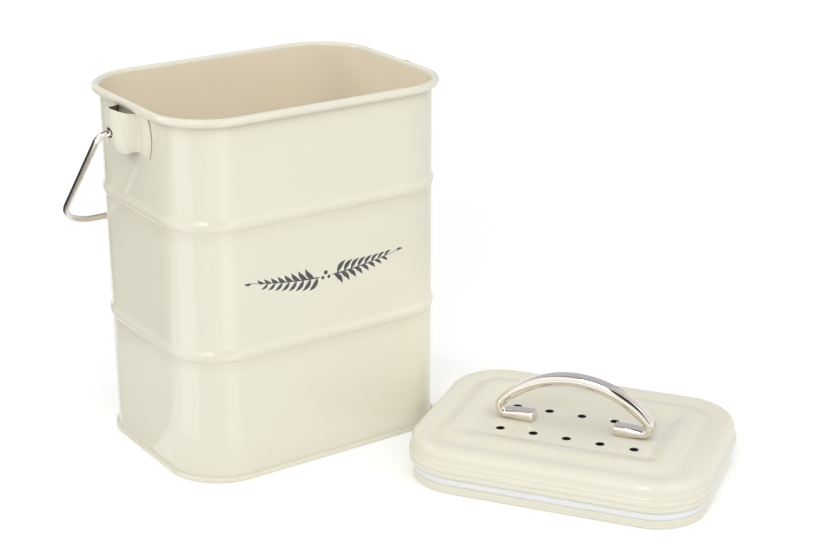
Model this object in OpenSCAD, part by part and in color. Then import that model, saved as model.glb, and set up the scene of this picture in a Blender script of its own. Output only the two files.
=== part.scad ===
// Enamelled steel compost caddy: seamed body with a swinging bail, and a vented
// lift-off lid with a fixed chrome handle, standing beside the body.
// Millimetres, +Z up. Origin: centre of the body's base, on the surface.

/* [Body] */
// Width of the body's side wall, outside
body_w = 167; // [140:1:210]
// Depth of the body's side wall, outside
body_d = 122.4; // [104:1:160]
// Height of the body, surface to top of rim
body_h = 205.4; // [170:1:280]
// Plan radius of the body's four corners, outside
corner_r = 31; // [26:1:40]
// Thickness of the body's sheet steel
sheet_t = 0.6; // [0.5:0.1:1.0]
// Radius of the rolled rim
rim_r = 2.3; // [1.8:0.1:3]
// How far the two pressed beads stand out
bead_out = 1.2; // [0.6:0.1:1.8]
// Half height of a pressed bead
bead_half = 4; // [3:0.1:5]
// Distance from the top of the rim down to the upper bead
bead_high_drop = 58.1; // [50:0.1:64]
// Distance from the top of the rim down to the lower bead
bead_low_drop = 131.1; // [115:0.1:140]

/* [Base] */
// How far the base seam stands out from the wall
seam_out = 1.8; // [1.4:0.1:2.4]
// Height of the base seam
seam_h = 2.8; // [2.6:0.1:3.6]
// Height of the base panel's top above the surface
pan_z = 3.6; // [3.4:0.1:6]
// Rise of the base's stiffening panel
pan_rise = 1.4; // [0.8:0.1:2.5]
// Distance from the wall to the stiffening panel's step
pan_inset = 14; // [10:0.5:18]

/* [Ears] */
// Distance from the top of the rim down to the bail's axis
pivot_drop = 16.2; // [16.1:0.1:30]
// Thickness of the ears' sheet
ear_t = 0.8; // [0.6:0.1:1.2]
// Height of an ear
ear_h = 22.4; // [18:0.2:22.6]
// Largest radius of an ear's hump
ear_r = 12.6; // [11.6:0.1:14]
// Radius of the hump at its top and bottom edges
ear_end_r = 11.2; // [9:0.1:11.4]
// Radius of the fillet between hump and flange
ear_fillet = 3; // [2:0.1:4]
// Half width of an ear at its top and bottom edges
ear_half_w = 22; // [20:0.5:24]
// Extra half width of an ear at its middle
ear_bow = 3; // [1:0.1:3.5]
// Diameter of the hole for the bail
ear_hole_d = 5.2; // [4.8:0.1:6]

/* [Bail] */
// Diameter of the bail's wire
wire_d = 3.7; // [3:0.1:4.2]
// Distance from the bail's axis to the middle of its grip
bail_l = 93; // [84:0.5:110]
// How far the bail's arms stand out from the wall, at the wire's middle
bail_out = 17.9; // [17.5:0.1:26]
// Bend radius between arm and grip, at the wire's middle
bail_corner_r = 22; // [10:0.5:30]
// Bend radius at the ears, at the wire's middle
bail_end_r = 4; // [3:0.1:4.4]
// How far the wire's ends reach inside the ear's hump
bail_tip = 6.5; // [4:0.1:8]
// Gap between the resting grip and the back wall
bail_rest_gap = 0.3; // [0.2:0.1:1]

/* [Lid] */
// Clearance between the lid's wall line and the inside of the body
lid_fit = 0.1; // [0.05:0.05:0.5]
// Thickness of the lid's sheet
lid_t = 0.6; // [0.5:0.1:0.9]
// Height of the lid's raised border above its lower edge
border_z = 25.3; // [24:0.1:34]
// Radius of the lid's shoulder
shoulder_r = 4.2; // [3:0.1:5]
// Distance from the lid's wall line to the crease inside the border
crease_in = 14.4; // [12:0.1:16]
// Drop of the crease below the border
crease_drop = 1.1; // [0.6:0.1:2]
// Distance from the lid's wall line to the raised panel
panel_in = 21; // [19:0.1:23]
// Rise of the panel above the border
panel_rise = 0.9; // [0.5:0.1:2.5]
// Half length of the recess at the panel
recess_a = 56; // [54:0.1:57]
// Half width of the recess at the panel
recess_b = 35; // [33:0.1:35]
// Plan radius of the recess's corners at the panel
recess_r = 9; // [8.8:0.1:12]
// Width of the recess's sloping sides
recess_slope = 8; // [6:0.1:8.2]
// Height of the recess's floor above the lid's lower edge
recess_z = 22.7; // [22.7:0.1:23.5]
// Height of the middle of the lid's upper bead
lid_bead_z = 16.2; // [16:0.1:16.4]
// Radius of the lid's upper bead
lid_bead_r = 2; // [1.8:0.05:2.1]
// How far the upper bead stands out
lid_bead_out = 1.3; // [1.2:0.05:1.7]
// Radius of the lid's rolled hem
hem_r = 2.05; // [1.9:0.05:2.1]
// How far the hem stands out
hem_out = 1.5; // [1.4:0.05:1.8]
// Height of the middle of the hem
hem_z = 11.75; // [11.7:0.05:11.9]

/* [Lid ring and seal] */
// How far the ring's foot stands back from the lid's wall line
plug_in = 0.5; // [0.3:0.05:1]
// Height of the ring's foot
plug_h = 5.2; // [4:0.1:6]
// Thickness of the ring's sheet
plug_t = 0.6; // [0.5:0.1:0.9]
// How far the ring's wall stands back from the lid's wall line
plug_wall_in = 3; // [2.8:0.1:3.6]
// Width of the ring's turned-in foot
plug_foot = 5; // [4:0.1:8]
// How far the seal stands out from the lid's wall line
seal_out = 0.05; // [0:0.05:0.4]
// Gap between the seal and the hem above it
seal_gap = 0.05; // [0.05:0.05:0.3]

/* [Vents and filter] */
// Diameter of a vent hole
vent_d = 5; // [3.5:0.1:6]
// Distance between vent holes in a row
vent_pitch = 19; // [17:0.1:21]
// Vent holes in a row
vent_n = 5; // [3:2:5]
// Half distance between the two rows
vent_row = 15.4; // [13:0.1:16.5]
// Half length of the filter pad
pad_a = 43.2; // [42:0.1:44]
// Half width of the filter pad
pad_b = 21.2; // [20:0.1:22]
// Thickness of the filter pad
pad_h = 7.9; // [6:0.1:8]
// Clearance round the filter pad
pad_gap = 0.3; // [0.2:0.1:0.5]
// Thickness of the filter holder's sheet
holder_t = 0.6; // [0.5:0.1:1]
// Width of the holder's flange outside its wall
holder_flange = 2.2; // [1.5:0.1:2.6]
// Length of a slot in the holder
slot_l = 26; // [16:0.5:30]
// Width of a slot in the holder
slot_w = 3.2; // [2:0.1:4]
// Distance between slots in the holder
slot_pitch = 7; // [6.2:0.1:8]

/* [Lid handle] */
// Height of the handle's top above the recess floor
handle_h = 31.3; // [28:0.1:40]
// Radius of the arch, outside
arch_r = 57; // [54:0.1:62]
// Thickness of the handle's bar between its flats
bar_t = 6; // [5:0.1:6.6]
// Radius of the handle's rounded sides
bar_r = 4.2; // [3.9:0.1:4.6]
// Inside radius of the handle's end bends
bend_r = 0.2; // [0.1:0.05:1]
// How far the tight end bends draw the bar's section in
bend_thin = 0.01; // [0.01:0.01:0.1]
// Distance from the lid's middle to the end of a foot
foot_end = 23; // [20:0.1:26]
// Distance from the lid's middle to a handle screw
screw_u = 31; // [29:0.1:34]
// Diameter of a handle screw
screw_d = 4; // [3:0.1:4.2]
// Diameter of a handle screw's head
screw_head_d = 7.4; // [6:0.1:8]
// Height of a handle screw's head
screw_head_h = 2.4; // [1.8:0.1:2.8]
// Depth of a handle screw in the foot
screw_in = 4.2; // [3:0.1:4.4]
// Radial clearance round a screw in the handle's foot
screw_fit = 0.05; // [0.02:0.01:0.1]
// Radial clearance round a screw in the sheet metal
screw_clear = 0.25; // [0.15:0.05:0.5]
// Diameter of a washer
washer_d = 9; // [8:0.1:10]
// Thickness of a washer
washer_t = 0.8; // [0.5:0.1:1]

/* [Where the lid stands] */
// Lid's middle to the right of the body's middle
lid_x = 104.7; // [100:0.1:140]
// Lid's middle in front of the body's middle, negative is nearer
lid_y = -148.3; // [-200:0.1:-146]
// Turn of the lid's long axis from the body's long axis
lid_yaw = -55.6; // [-60:0.1:-50]

/* [Hidden] */
$fn = 64;
eps = 0.01;
a = body_w / 2;
b = body_d / 2;
rim_cx = rim_r - sheet_t;
rim_cz = body_h - rim_r;
bead_low_z = body_h - bead_low_drop;
bead_high_z = body_h - bead_high_drop;
pivot_z = body_h - pivot_drop;
// how far out the rim's curl and the hem's curl stay open towards the wall
curl_open = 0.8;
hem_open = 0.3;
// radius of the arc that bulges a bead out of the wall
bead_r = (bead_half * bead_half + bead_out * bead_out) / (2 * bead_out);
// arc that bows the hump between its middle and its edges
hump_arc = (ear_h * ear_h / 4 + pow(ear_r - ear_end_r, 2)) / (2 * (ear_r - ear_end_r));
// arc that bows an ear's upright edges
bow_arc = (ear_h * ear_h / 4 + ear_bow * ear_bow) / (2 * ear_bow);
bail_half_w = a + bail_out;
// the grip rests on the back wall, which sets the bail's angle below level
bail_angle = acos((b + wire_d / 2 + bail_rest_gap) / bail_l);
// lid's wall line follows the inside of the body
la = a - sheet_t - lid_fit;
lb = b - sheet_t - lid_fit;
lr = corner_r - sheet_t - lid_fit;
hem_cx = hem_out - hem_r;
lid_bead_cx = lid_bead_out - lid_bead_r;
panel_z = border_z + panel_rise;
crease_z = border_z - crease_drop;
// the ring's flange meets the lid's wall a little above the bead
ring_top = lid_bead_z + lid_bead_r + 1;
seal_top = hem_z - hem_r - seal_gap;
holder_top = recess_z - lid_t;
// play above the pad
pad_play = 0.2;
pad_top = holder_top - pad_play;
pad_z = pad_top - pad_h;
holder_z = pad_z - holder_t;
holder_a = pad_a + pad_gap + holder_t;
holder_b = pad_b + pad_gap + holder_t;
bend_out = bend_r + bar_t;
arch_cz = recess_z + handle_h - arch_r;
bend_cz = recess_z + bend_out;
bend_cu = sqrt(pow(arch_r - bend_out, 2) - pow(bend_cz - arch_cz, 2));
// rounded, so that the bends meet the arch without a sliver
bend_a = round(1000 * atan2(bend_cz - arch_cz, bend_cu)) / 1000;
slots = floor((2 * pad_a - 14) / slot_pitch / 2);

// points on an arc, from angle a0 to a1 in n steps
function arc(cx, cy, r, a0, a1, n) =
    [for (i = [0 : n]) let (t = a0 + (a1 - a0) * i / n) [cx + r * cos(t), cy + r * sin(t)]];
// points on a half cosine from (x0, z0) to (x1, z1), without the first one
function ease(x0, z0, x1, z1, n) =
    [for (i = [1 : n]) [x0 + (x1 - x0) * i / n, z0 + (z1 - z0) * (1 - cos(180 * i / n)) / 2]];
function lower(pts, d) = [for (p = pts) [p[0], p[1] - d]];
function reversed(pts) = [for (i = [len(pts) - 1 : -1 : 0]) pts[i]];

// rounded rectangle with half sizes ha, hb
module plan(ha, hb, r) {
    square([2 * (ha - r), 2 * hb], center = true);
    square([2 * ha, 2 * (hb - r)], center = true);
    for (sx = [-1, 1]) {
        for (sy = [-1, 1]) {
            translate([sx * (ha - r), sy * (hb - r)]) circle(r);
        }
    }
}

// flat plate with that plan
module plate(ha, hb, r, z0, z1) {
    translate([0, 0, z0]) linear_extrude(height = z1 - z0) plan(ha, hb, r);
}

// carries a section round a rounded rectangle; in the section, x is the distance
// outward from the rectangle's line and y is the height
module round_plan(ha, hb, r) {
    corners = [[1, 1], [-1, 1], [-1, -1], [1, -1]];
    for (i = [0 : 3]) {
        translate([corners[i][0] * (ha - r), corners[i][1] * (hb - r), 0])
            rotate([0, 0, 90 * i]) rotate_extrude(angle = 90) translate([r, 0]) children();
    }
    for (turn = [0, 180]) {
        rotate([0, 0, turn]) translate([ha, hb - r, 0])
            rotate([90, 0, 0]) linear_extrude(height = 2 * (hb - r)) children();
        rotate([0, 0, turn + 90]) translate([hb, ha - r, 0])
            rotate([90, 0, 0]) linear_extrude(height = 2 * (ha - r)) children();
    }
}

// section of the side wall: foot folded into the seam, two beads, rolled rim
module wrap_section() {
    difference() {
        union() {
            translate([-sheet_t, sheet_t]) square([sheet_t, rim_cz - sheet_t]);
            translate([-sheet_t, sheet_t]) square([seam_out, seam_h - 2 * sheet_t]);
            for (z = [bead_low_z, bead_high_z]) {
                intersection() {
                    translate([bead_out - bead_r, z]) circle(bead_r);
                    translate([-sheet_t, z - 2 * bead_half]) square([2 * bead_half, 4 * bead_half]);
                }
            }
        }
        for (z = [bead_low_z, bead_high_z]) {
            translate([bead_out - bead_r, z]) circle(bead_r - sheet_t);
        }
    }
    difference() {
        translate([rim_cx, rim_cz]) circle(rim_r);
        translate([rim_cx, rim_cz]) circle(rim_r - sheet_t);
        translate([-sheet_t - 1, rim_cz - rim_r - 1]) square([1 + sheet_t + curl_open, rim_r + 1]);
    }
}

module body_wrap() {
    color("#e9e5d6") round_plan(a, b, corner_r) wrap_section();
}

// section of the base seam that wraps the wall's folded foot
module seam_section() {
    nose = seam_out / 2;
    difference() {
        union() {
            translate([-2 * sheet_t, 0]) square([2 * sheet_t + nose, seam_h]);
            translate([-2 * sheet_t, nose]) square([2 * sheet_t + seam_out, seam_h - 2 * nose]);
            translate([nose, nose]) circle(nose);
            translate([nose, seam_h - nose]) circle(nose);
            translate([-2 * sheet_t, 0]) square([sheet_t, pan_z]);
        }
        translate([-sheet_t, sheet_t]) square([seam_out, seam_h - 2 * sheet_t]);
        translate([-sheet_t, seam_h - sheet_t - eps]) square([sheet_t, pan_z]);
    }
}

module base_pan() {
    ia = a - 2 * sheet_t;
    ib = b - 2 * sheet_t;
    ir = corner_r - 2 * sheet_t;
    step = 2 * pan_rise;
    rise = concat([[0, pan_z]], ease(0, pan_z, -step, pan_z + pan_rise, 6));
    color("#e4dfcc") {
        round_plan(a, b, corner_r) seam_section();
        difference() {
            plate(ia, ib, ir, pan_z - sheet_t, pan_z);
            plate(a - pan_inset, b - pan_inset, corner_r - pan_inset, 0, 2 * pan_z);
        }
        round_plan(a - pan_inset, b - pan_inset, corner_r - pan_inset)
            polygon(concat(rise, reversed(lower(rise, sheet_t))));
        plate(a - pan_inset - step, b - pan_inset - step, corner_r - pan_inset - step,
              pan_z + pan_rise - sheet_t, pan_z + pan_rise);
    }
}

// ear outline in the wall's plane, with bowed upright edges
module ear_outline() {
    square([2 * ear_half_w, ear_h], center = true);
    for (side = [0, 1]) {
        mirror([side, 0]) intersection() {
            translate([ear_half_w + ear_bow - bow_arc, 0]) circle(bow_arc);
            translate([0, -ear_h / 2]) square([2 * ear_half_w, ear_h]);
        }
    }
}

// section of the hump, shrunk by inset; filled inward to its axis
module hump_section(inset) {
    intersection() {
        translate([ear_r - hump_arc, 0]) circle(hump_arc - inset);
        translate([0, -ear_h / 2 - inset]) square([2 * ear_r, ear_h + 2 * inset]);
    }
}

// one pressed ear, its hump standing out along +X from the wall at X = 0
module ear() {
    difference() {
        union() {
            rotate([90, 0, 90]) linear_extrude(height = ear_t) ear_outline();
            rotate([0, 0, -90]) rotate_extrude(angle = 180) hump_section(0);
            // flared foot between hump and flange
            for (side = [0, 1]) {
                mirror([0, side, 0]) translate([ear_t, ear_end_r - ear_t, -ear_h / 2])
                    linear_extrude(height = ear_h) difference() {
                        square([ear_fillet, ear_fillet + 2 * ear_t]);
                        translate([ear_fillet, ear_fillet + 2 * ear_t]) circle(ear_fillet);
                    }
            }
        }
        rotate([0, 0, -90]) rotate_extrude(angle = 180) hump_section(ear_t);
        rotate([0, 90, 0]) cylinder(d = ear_hole_d, h = 2 * ear_r);
    }
}

module ear_left() {
    color("#dcd6c4") translate([-a, 0, pivot_z]) mirror([1, 0, 0]) ear();
}

module ear_right() {
    color("#dcd6c4") translate([a, 0, pivot_z]) ear();
}

// straight piece of wire along +X
module wire(len) {
    rotate([0, 90, 0]) cylinder(d = wire_d, h = len);
}

// quarter bend of wire in the XY plane
module wire_bend(r) {
    rotate_extrude(angle = 90) translate([r, 0]) circle(d = wire_d);
}

module bail_handle() {
    tip_x = a + ear_r - ear_t - bail_tip;
    end_x = bail_half_w - bail_end_r;
    grip_x = bail_half_w - bail_corner_r;
    color("#c9c8cc") translate([0, 0, pivot_z]) rotate([-bail_angle, 0, 0]) {
        for (side = [0, 1]) {
            mirror([side, 0, 0]) {
                translate([tip_x, 0, 0]) wire(end_x - tip_x);
                translate([end_x, bail_end_r, 0]) rotate([0, 0, -90]) wire_bend(bail_end_r);
                translate([bail_half_w, bail_end_r, 0]) rotate([0, 0, 90])
                    wire(bail_l - bail_corner_r - bail_end_r);
                translate([grip_x, bail_l - bail_corner_r, 0]) wire_bend(bail_corner_r);
            }
        }
        translate([-grip_x, bail_l, 0]) wire(2 * grip_x);
    }
}

// everything on the lid is drawn about the lid's own middle, then stood in place
module at_lid() {
    translate([lid_x, lid_y, 0]) rotate([0, 0, lid_yaw]) children();
}

// both handle screws' places
module at_screws() {
    for (side = [-1, 1]) {
        translate([side * screw_u, 0, 0]) children();
    }
}

// lid section outside the panel: shoulder, border and crease, bead and rolled hem
module lid_section() {
    top = concat(ease(-shoulder_r - 3, border_z, -crease_in, crease_z, 6),
                 ease(-crease_in, crease_z, -panel_in, panel_z, 7));
    outer = concat([[0, lid_bead_z + 1.5]], arc(-shoulder_r, border_z - shoulder_r, shoulder_r, 0, 90, 9),
                   [[-shoulder_r - 3, border_z]], top);
    inner = concat([[-lid_t, lid_bead_z + 1.5]],
                   arc(-shoulder_r, border_z - shoulder_r, shoulder_r - lid_t, 0, 90, 9),
                   [[-shoulder_r - 3, border_z - lid_t]], lower(top, lid_t));
    polygon(concat(outer, reversed(inner)));
    difference() {
        translate([lid_bead_cx, lid_bead_z]) circle(lid_bead_r);
        translate([lid_bead_cx, lid_bead_z]) circle(lid_bead_r - lid_t);
        translate([-lid_t - 2 * lid_bead_r, lid_bead_z - 2 * lid_bead_r])
            square([2 * lid_bead_r, 4 * lid_bead_r]);
    }
    translate([-lid_t, hem_z + hem_r - lid_t])
        square([lid_t, lid_bead_z - hem_z - hem_r - lid_bead_r + 2 * lid_t]);
    difference() {
        translate([hem_cx, hem_z]) circle(hem_r);
        translate([hem_cx, hem_z]) circle(hem_r - lid_t);
        translate([-lid_t - hem_open - 2 * hem_r, hem_z + 0.4]) square([2 * hem_r, 2 * hem_r]);
    }
}

module lid_shell() {
    slope = [[0, panel_z], [-recess_slope, recess_z]];
    fa = recess_a - recess_slope;
    fb = recess_b - recess_slope;
    fr = recess_r - recess_slope;
    color("#ebe7d8") at_lid() {
        round_plan(la, lb, lr) lid_section();
        difference() {
            plate(la - panel_in, lb - panel_in, lr - panel_in, panel_z - lid_t, panel_z);
            plate(recess_a, recess_b, recess_r, recess_z, panel_z + 1);
        }
        round_plan(recess_a, recess_b, recess_r) polygon(concat(slope, reversed(lower(slope, lid_t))));
        difference() {
            plate(fa, fb, fr, recess_z - lid_t, recess_z);
            for (i = [0 : vent_n - 1]) {
                for (row = [-1, 1]) {
                    translate([(i - (vent_n - 1) / 2) * vent_pitch, row * vent_row, recess_z - 2 * lid_t])
                        cylinder(d = vent_d, h = 3 * lid_t);
                }
            }
            at_screws() translate([0, 0, recess_z - 2 * lid_t])
                cylinder(r = screw_d / 2 + screw_clear, h = 3 * lid_t);
        }
    }
}

// sheet ring inside the lid: top flange, upright wall, stepped foot turned in
module lid_ring() {
    nose = 0.9;
    wall = plug_wall_in;
    color("#e6e0cd") at_lid() round_plan(la, lb, lr) polygon(concat(
        [[-lid_t, ring_top], [-wall - plug_t, ring_top], [-wall - plug_t, plug_h - plug_t],
         [-plug_in - plug_t, plug_h - plug_t], [-plug_in - plug_t, plug_t],
         [-plug_in - plug_foot + plug_t, plug_t], [-plug_in - plug_foot + plug_t, plug_h / 2],
         [-plug_in - plug_foot, plug_h / 2], [-plug_in - plug_foot, 0]],
        arc(-plug_in - nose, nose, nose, -90, 0, 4),
        arc(-plug_in - nose / 2, plug_h - nose / 2, nose / 2, 0, 90, 3),
        [[-wall, plug_h], [-wall, ring_top - plug_t], [-lid_t, ring_top - plug_t]]));
}

module lid_seal() {
    mid = (plug_h + seal_top) / 2;
    half = (seal_top - plug_h) / 2;
    bulge = 0.4;
    round_out = arc(seal_out - bulge - half, mid, half + bulge, -40, 40, 6);
    color("#f4f4f2") at_lid() round_plan(la, lb, lr) polygon(concat(
        [[-plug_wall_in, seal_top], [-plug_wall_in, plug_h],
         [seal_out - bulge - half * 0.6, plug_h]],
        [for (p = round_out) if (p[1] > plug_h && p[1] < seal_top) p],
        [[seal_out - bulge - half * 0.6, seal_top]]));
}

// bar section: round sides, flat inside and outside of the bend
module bar_section(less = 0) {
    intersection() {
        circle(bar_r - less);
        square([bar_t - 2 * less, 3 * bar_r], center = true);
    }
}

// half of the handle, drawn outward from its highest point: arch, end bend, foot
module half_handle() {
    difference() {
        translate([0, 0, arch_cz]) rotate([90, 0, 0]) rotate([0, 0, bend_a]) {
            rotate_extrude(angle = 92 - bend_a) translate([arch_r - bar_t / 2, 0]) bar_section();
            translate([arch_r - bend_out, 0, 0]) rotate([0, 0, -90 - bend_a]) {
                rotate_extrude(angle = 90 + bend_a) translate([bend_r + bar_t / 2, 0]) bar_section(bend_thin);
                translate([bend_r + bar_t / 2, 0, 0]) rotate([90, 0, 0])
                    linear_extrude(height = bend_cu - foot_end) bar_section();
            }
        }
        translate([-arch_r, -arch_r / 2, 0]) cube([arch_r, arch_r, 2 * arch_r]);
    }
}

module lid_handle() {
    color("#cfcdd2") at_lid() difference() {
        union() {
            half_handle();
            mirror([1, 0, 0]) half_handle();
        }
        at_screws() translate([0, 0, recess_z - 1])
            cylinder(r = screw_d / 2 + screw_fit, h = screw_in + 1.4);
    }
}

module filter_holder() {
    color("#d8d8da") at_lid() difference() {
        union() {
            plate(holder_a, holder_b, 4, holder_z, holder_top);
            plate(holder_a + holder_flange, holder_b + holder_flange, 5, holder_top - holder_t, holder_top);
        }
        plate(holder_a - holder_t, holder_b - holder_t, 4 - holder_t, pad_z, holder_top + 1);
        for (i = [-slots : slots]) {
            if (abs(abs(i * slot_pitch) - screw_u) > washer_d / 2 + slot_w / 2) {
                translate([i * slot_pitch, 0, holder_z - 1]) linear_extrude(height = holder_t + 2) {
                    square([slot_w, slot_l - slot_w], center = true);
                    for (end = [-1, 1]) {
                        translate([0, end * (slot_l - slot_w) / 2]) circle(d = slot_w);
                    }
                }
            }
        }
        at_screws() translate([0, 0, holder_z - 1])
            cylinder(r = screw_d / 2 + screw_clear, h = holder_t + 2);
    }
}

module carbon_filter() {
    color("#2f2f31") at_lid() difference() {
        plate(pad_a, pad_b, 3, pad_z, pad_top);
        at_screws() translate([0, 0, pad_z - 1])
            cylinder(r = screw_d / 2 + 2 * screw_clear, h = pad_h + 2);
    }
}

module handle_screws() {
    seat = holder_z - washer_t;
    dome = (pow(screw_head_d / 2, 2) + pow(screw_head_h, 2)) / (2 * screw_head_h);
    color("#b9b9bd") at_lid() at_screws() {
        translate([0, 0, seat]) cylinder(d = screw_d, h = recess_z + screw_in - seat);
        intersection() {
            translate([0, 0, seat - screw_head_h + dome]) sphere(dome);
            translate([0, 0, seat - screw_head_h]) cylinder(d = screw_head_d, h = screw_head_h);
        }
    }
}

module screw_washers() {
    color("#c4c4c8") at_lid() at_screws() translate([0, 0, holder_z - washer_t]) difference() {
        cylinder(d = washer_d, h = washer_t);
        translate([0, 0, -1]) cylinder(r = screw_d / 2 + screw_clear, h = washer_t + 2);
    }
}

body_wrap();
base_pan();
ear_left();
ear_right();
bail_handle();
lid_shell();
lid_ring();
lid_seal();
lid_handle();
filter_holder();
carbon_filter();
handle_screws();
screw_washers();
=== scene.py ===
"""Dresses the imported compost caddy: enamelled body and lid, chrome bail and lid handle.

Sizes in the classes are millimetres in the row frame; meshes are made in metres.
"""
import logging
import math
from collections.abc import Sequence
from dataclasses import dataclass, field, replace
from enum import Enum

import bmesh
import bpy
import numpy as np
from mathutils import Matrix, Vector


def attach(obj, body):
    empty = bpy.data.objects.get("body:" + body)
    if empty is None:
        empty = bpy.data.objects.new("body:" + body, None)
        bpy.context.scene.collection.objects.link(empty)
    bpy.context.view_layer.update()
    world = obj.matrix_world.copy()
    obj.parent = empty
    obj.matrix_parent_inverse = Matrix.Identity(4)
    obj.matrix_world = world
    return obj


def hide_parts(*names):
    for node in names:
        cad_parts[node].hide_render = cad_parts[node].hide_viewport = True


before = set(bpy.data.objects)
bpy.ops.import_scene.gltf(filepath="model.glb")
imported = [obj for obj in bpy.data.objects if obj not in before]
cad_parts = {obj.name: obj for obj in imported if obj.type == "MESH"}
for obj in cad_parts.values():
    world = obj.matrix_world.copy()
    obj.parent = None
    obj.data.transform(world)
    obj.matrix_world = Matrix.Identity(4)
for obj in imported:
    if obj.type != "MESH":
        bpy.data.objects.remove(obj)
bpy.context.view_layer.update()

LOG = logging.getLogger("caddy")
MM = 0.001
MERGE = 1e-6
SHARP = math.radians(35)
Array = np.ndarray
Colour = tuple[float, float, float]
Corner = tuple[float, float, float]
Value = float | tuple[float, ...] | bpy.types.NodeSocket


class Slot(Enum):
    """The record's material slots."""

    CREAM = "cream_enamel"
    CHROME = "bright_chrome"
    SEAL = "white_seal"
    STEEL = "plain_steel"
    FELT = "carbon_felt"


class Body(Enum):
    """The CAD bodies that pieces ride on."""

    CADDY = "caddy"
    BAIL = "bail"
    LID = "lid"


# ---------------------------------------------------------------- profiles and surfaces


def arc(cx: float, cz: float, r: float, a0: float, a1: float, n: int) -> Array:
    """Points of a circular arc: centre plus r times (cosine, sine) of evenly spaced angles.

    Args:
        cx, cz: centre; r: radius; a0, a1: first and last angle in degrees; n: steps.

    Returns:
        Array of n + 1 points.
    """
    t = np.radians(np.linspace(a0, a1, n + 1))
    return np.stack([cx + r * np.cos(t), cz + r * np.sin(t)], axis=1)


def eased(points: Sequence[Sequence[float]], cuts: Sequence[float], steps: int = 6,
          closed: bool = False) -> Array:
    """A polyline whose corners are turned by parabolas.

    Each corner p with cut c becomes the parabola with control points p - c along the way in,
    p, and p + c along the way out.

    Args:
        points: the corners. cuts: length cut off each corner, 0 keeps it sharp.
        steps: steps in a turned corner. closed: whether the last corner joins the first.

    Returns:
        Array of points.
    """
    p = np.asarray(points, float)
    c = np.asarray(cuts, float)
    before, after = np.roll(p, 1, axis=0) - p, np.roll(p, -1, axis=0) - p
    before /= np.maximum(np.linalg.norm(before, axis=1, keepdims=True), 1e-9)
    after /= np.maximum(np.linalg.norm(after, axis=1, keepdims=True), 1e-9)
    if not closed:
        c = c.copy()
        c[[0, -1]] = 0
    s = np.linspace(0, 1, steps + 1)[None, :, None]
    start, end = p + before * c[:, None], p + after * c[:, None]
    curve = (1 - s) ** 2 * start[:, None] + 2 * s * (1 - s) * p[:, None] + s ** 2 * end[:, None]
    return run(curve.reshape(-1, 2))


def run(*parts: Array) -> Array:
    """Profile parts joined end to end, without doubled points.

    Args:
        parts: arrays of points (n, 2).

    Returns:
        Array of points.
    """
    flat = np.concatenate([np.asarray(p, float) for p in parts])
    step = np.linalg.norm(np.diff(flat, axis=0), axis=1)
    return flat[np.concatenate([[True], step > 1e-5])]


def inward(profile: Array, t: float) -> Array:
    """The profile moved by t to its right-hand side: each point minus t times the left normal.

    The left normal is the central-difference tangent turned by a quarter turn.

    Args:
        profile: points (n, 2). t: distance.

    Returns:
        Array of the moved points.
    """
    d = np.gradient(profile, axis=0)
    d /= np.linalg.norm(d, axis=1, keepdims=True)
    return profile - t * np.stack([-d[:, 1], d[:, 0]], axis=1)


def grid_faces(rows: int, cols: int, wrap_rows: bool = False, wrap_cols: bool = False) -> Array:
    """Quads of a grid of points numbered row by row.

    Args:
        rows, cols: size of the grid. wrap_rows, wrap_cols: whether its last row or column is
            joined to the first.

    Returns:
        Array of point numbers (quads, 4).
    """
    i, j = np.meshgrid(np.arange(rows if wrap_rows else rows - 1),
                       np.arange(cols if wrap_cols else cols - 1), indexing="ij")
    k, m = (i + 1) % rows, (j + 1) % cols
    return np.stack([i * cols + j, k * cols + j, k * cols + m, i * cols + m], axis=-1).reshape(-1, 4)


@dataclass(frozen=True)
class PlanPath:
    """A round trip of a rounded rectangle, kept apart from its size.

    A point of the rectangle with half sizes hx, hy and corner radius r is
    (cx (hx - r) + nx r, cy (hy - r) + ny r), so one path fits every size.
    """

    centre: Array
    normal: Array
    belly: Array

    @classmethod
    def make(cls, corner_steps: int, along: Array, across: Array) -> "PlanPath":
        """Builds the path anticlockwise from the +X side.

        Args:
            corner_steps: steps in a corner. along, across: increasing places inside (-1, 1)
                on the sides that run along X and along Y.

        Returns:
            The path.
        """
        quarter = np.linspace(0, math.pi / 2, corner_steps + 1)
        centres, normals, bellies = [], [], []
        signs = [(1, 1), (-1, 1), (-1, -1), (1, -1)]
        for k, (sx, sy) in enumerate(signs):
            places, turn = (across, along[::-1], across[::-1], along)[k], k * math.pi / 2
            side = np.full((len(places), 2), 1.0 if k < 2 else -1.0)
            side[:, (k + 1) % 2] = places
            centres += [side, np.tile([float(sx), float(sy)], (corner_steps + 1, 1))]
            flat = np.tile([math.cos(turn), math.sin(turn)], (len(places), 1))
            normals += [flat, np.stack([np.cos(quarter + turn), np.sin(quarter + turn)], axis=1)]
            bellies += [1 - np.asarray(places) ** 2, np.zeros(corner_steps + 1)]
        return cls(np.concatenate(centres), np.concatenate(normals), np.concatenate(bellies))

    def rings(self, hx: Array, hy: Array, r: Array, z: Array) -> Array:
        """One ring of points for each row of sizes and heights.

        Args:
            hx, hy, r, z: arrays of the same length, one value for each ring.

        Returns:
            Array (rings, points, 3).
        """
        hx, hy, r, z = (np.asarray(q, float)[:, None] for q in (hx, hy, r, z))
        x = self.centre[None, :, 0] * (hx - r) + self.normal[None, :, 0] * r
        y = self.centre[None, :, 1] * (hy - r) + self.normal[None, :, 1] * r
        return np.stack([x, y, np.broadcast_to(z, x.shape)], axis=-1)

    def offset_rings(self, hx: float, hy: float, r: float, section: Array) -> Array:
        """Rings of a section carried round; its columns are the distance outward and z."""
        out, z = section[:, 0], section[:, 1]
        return self.rings(hx + out, hy + out, r + out, z)


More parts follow.
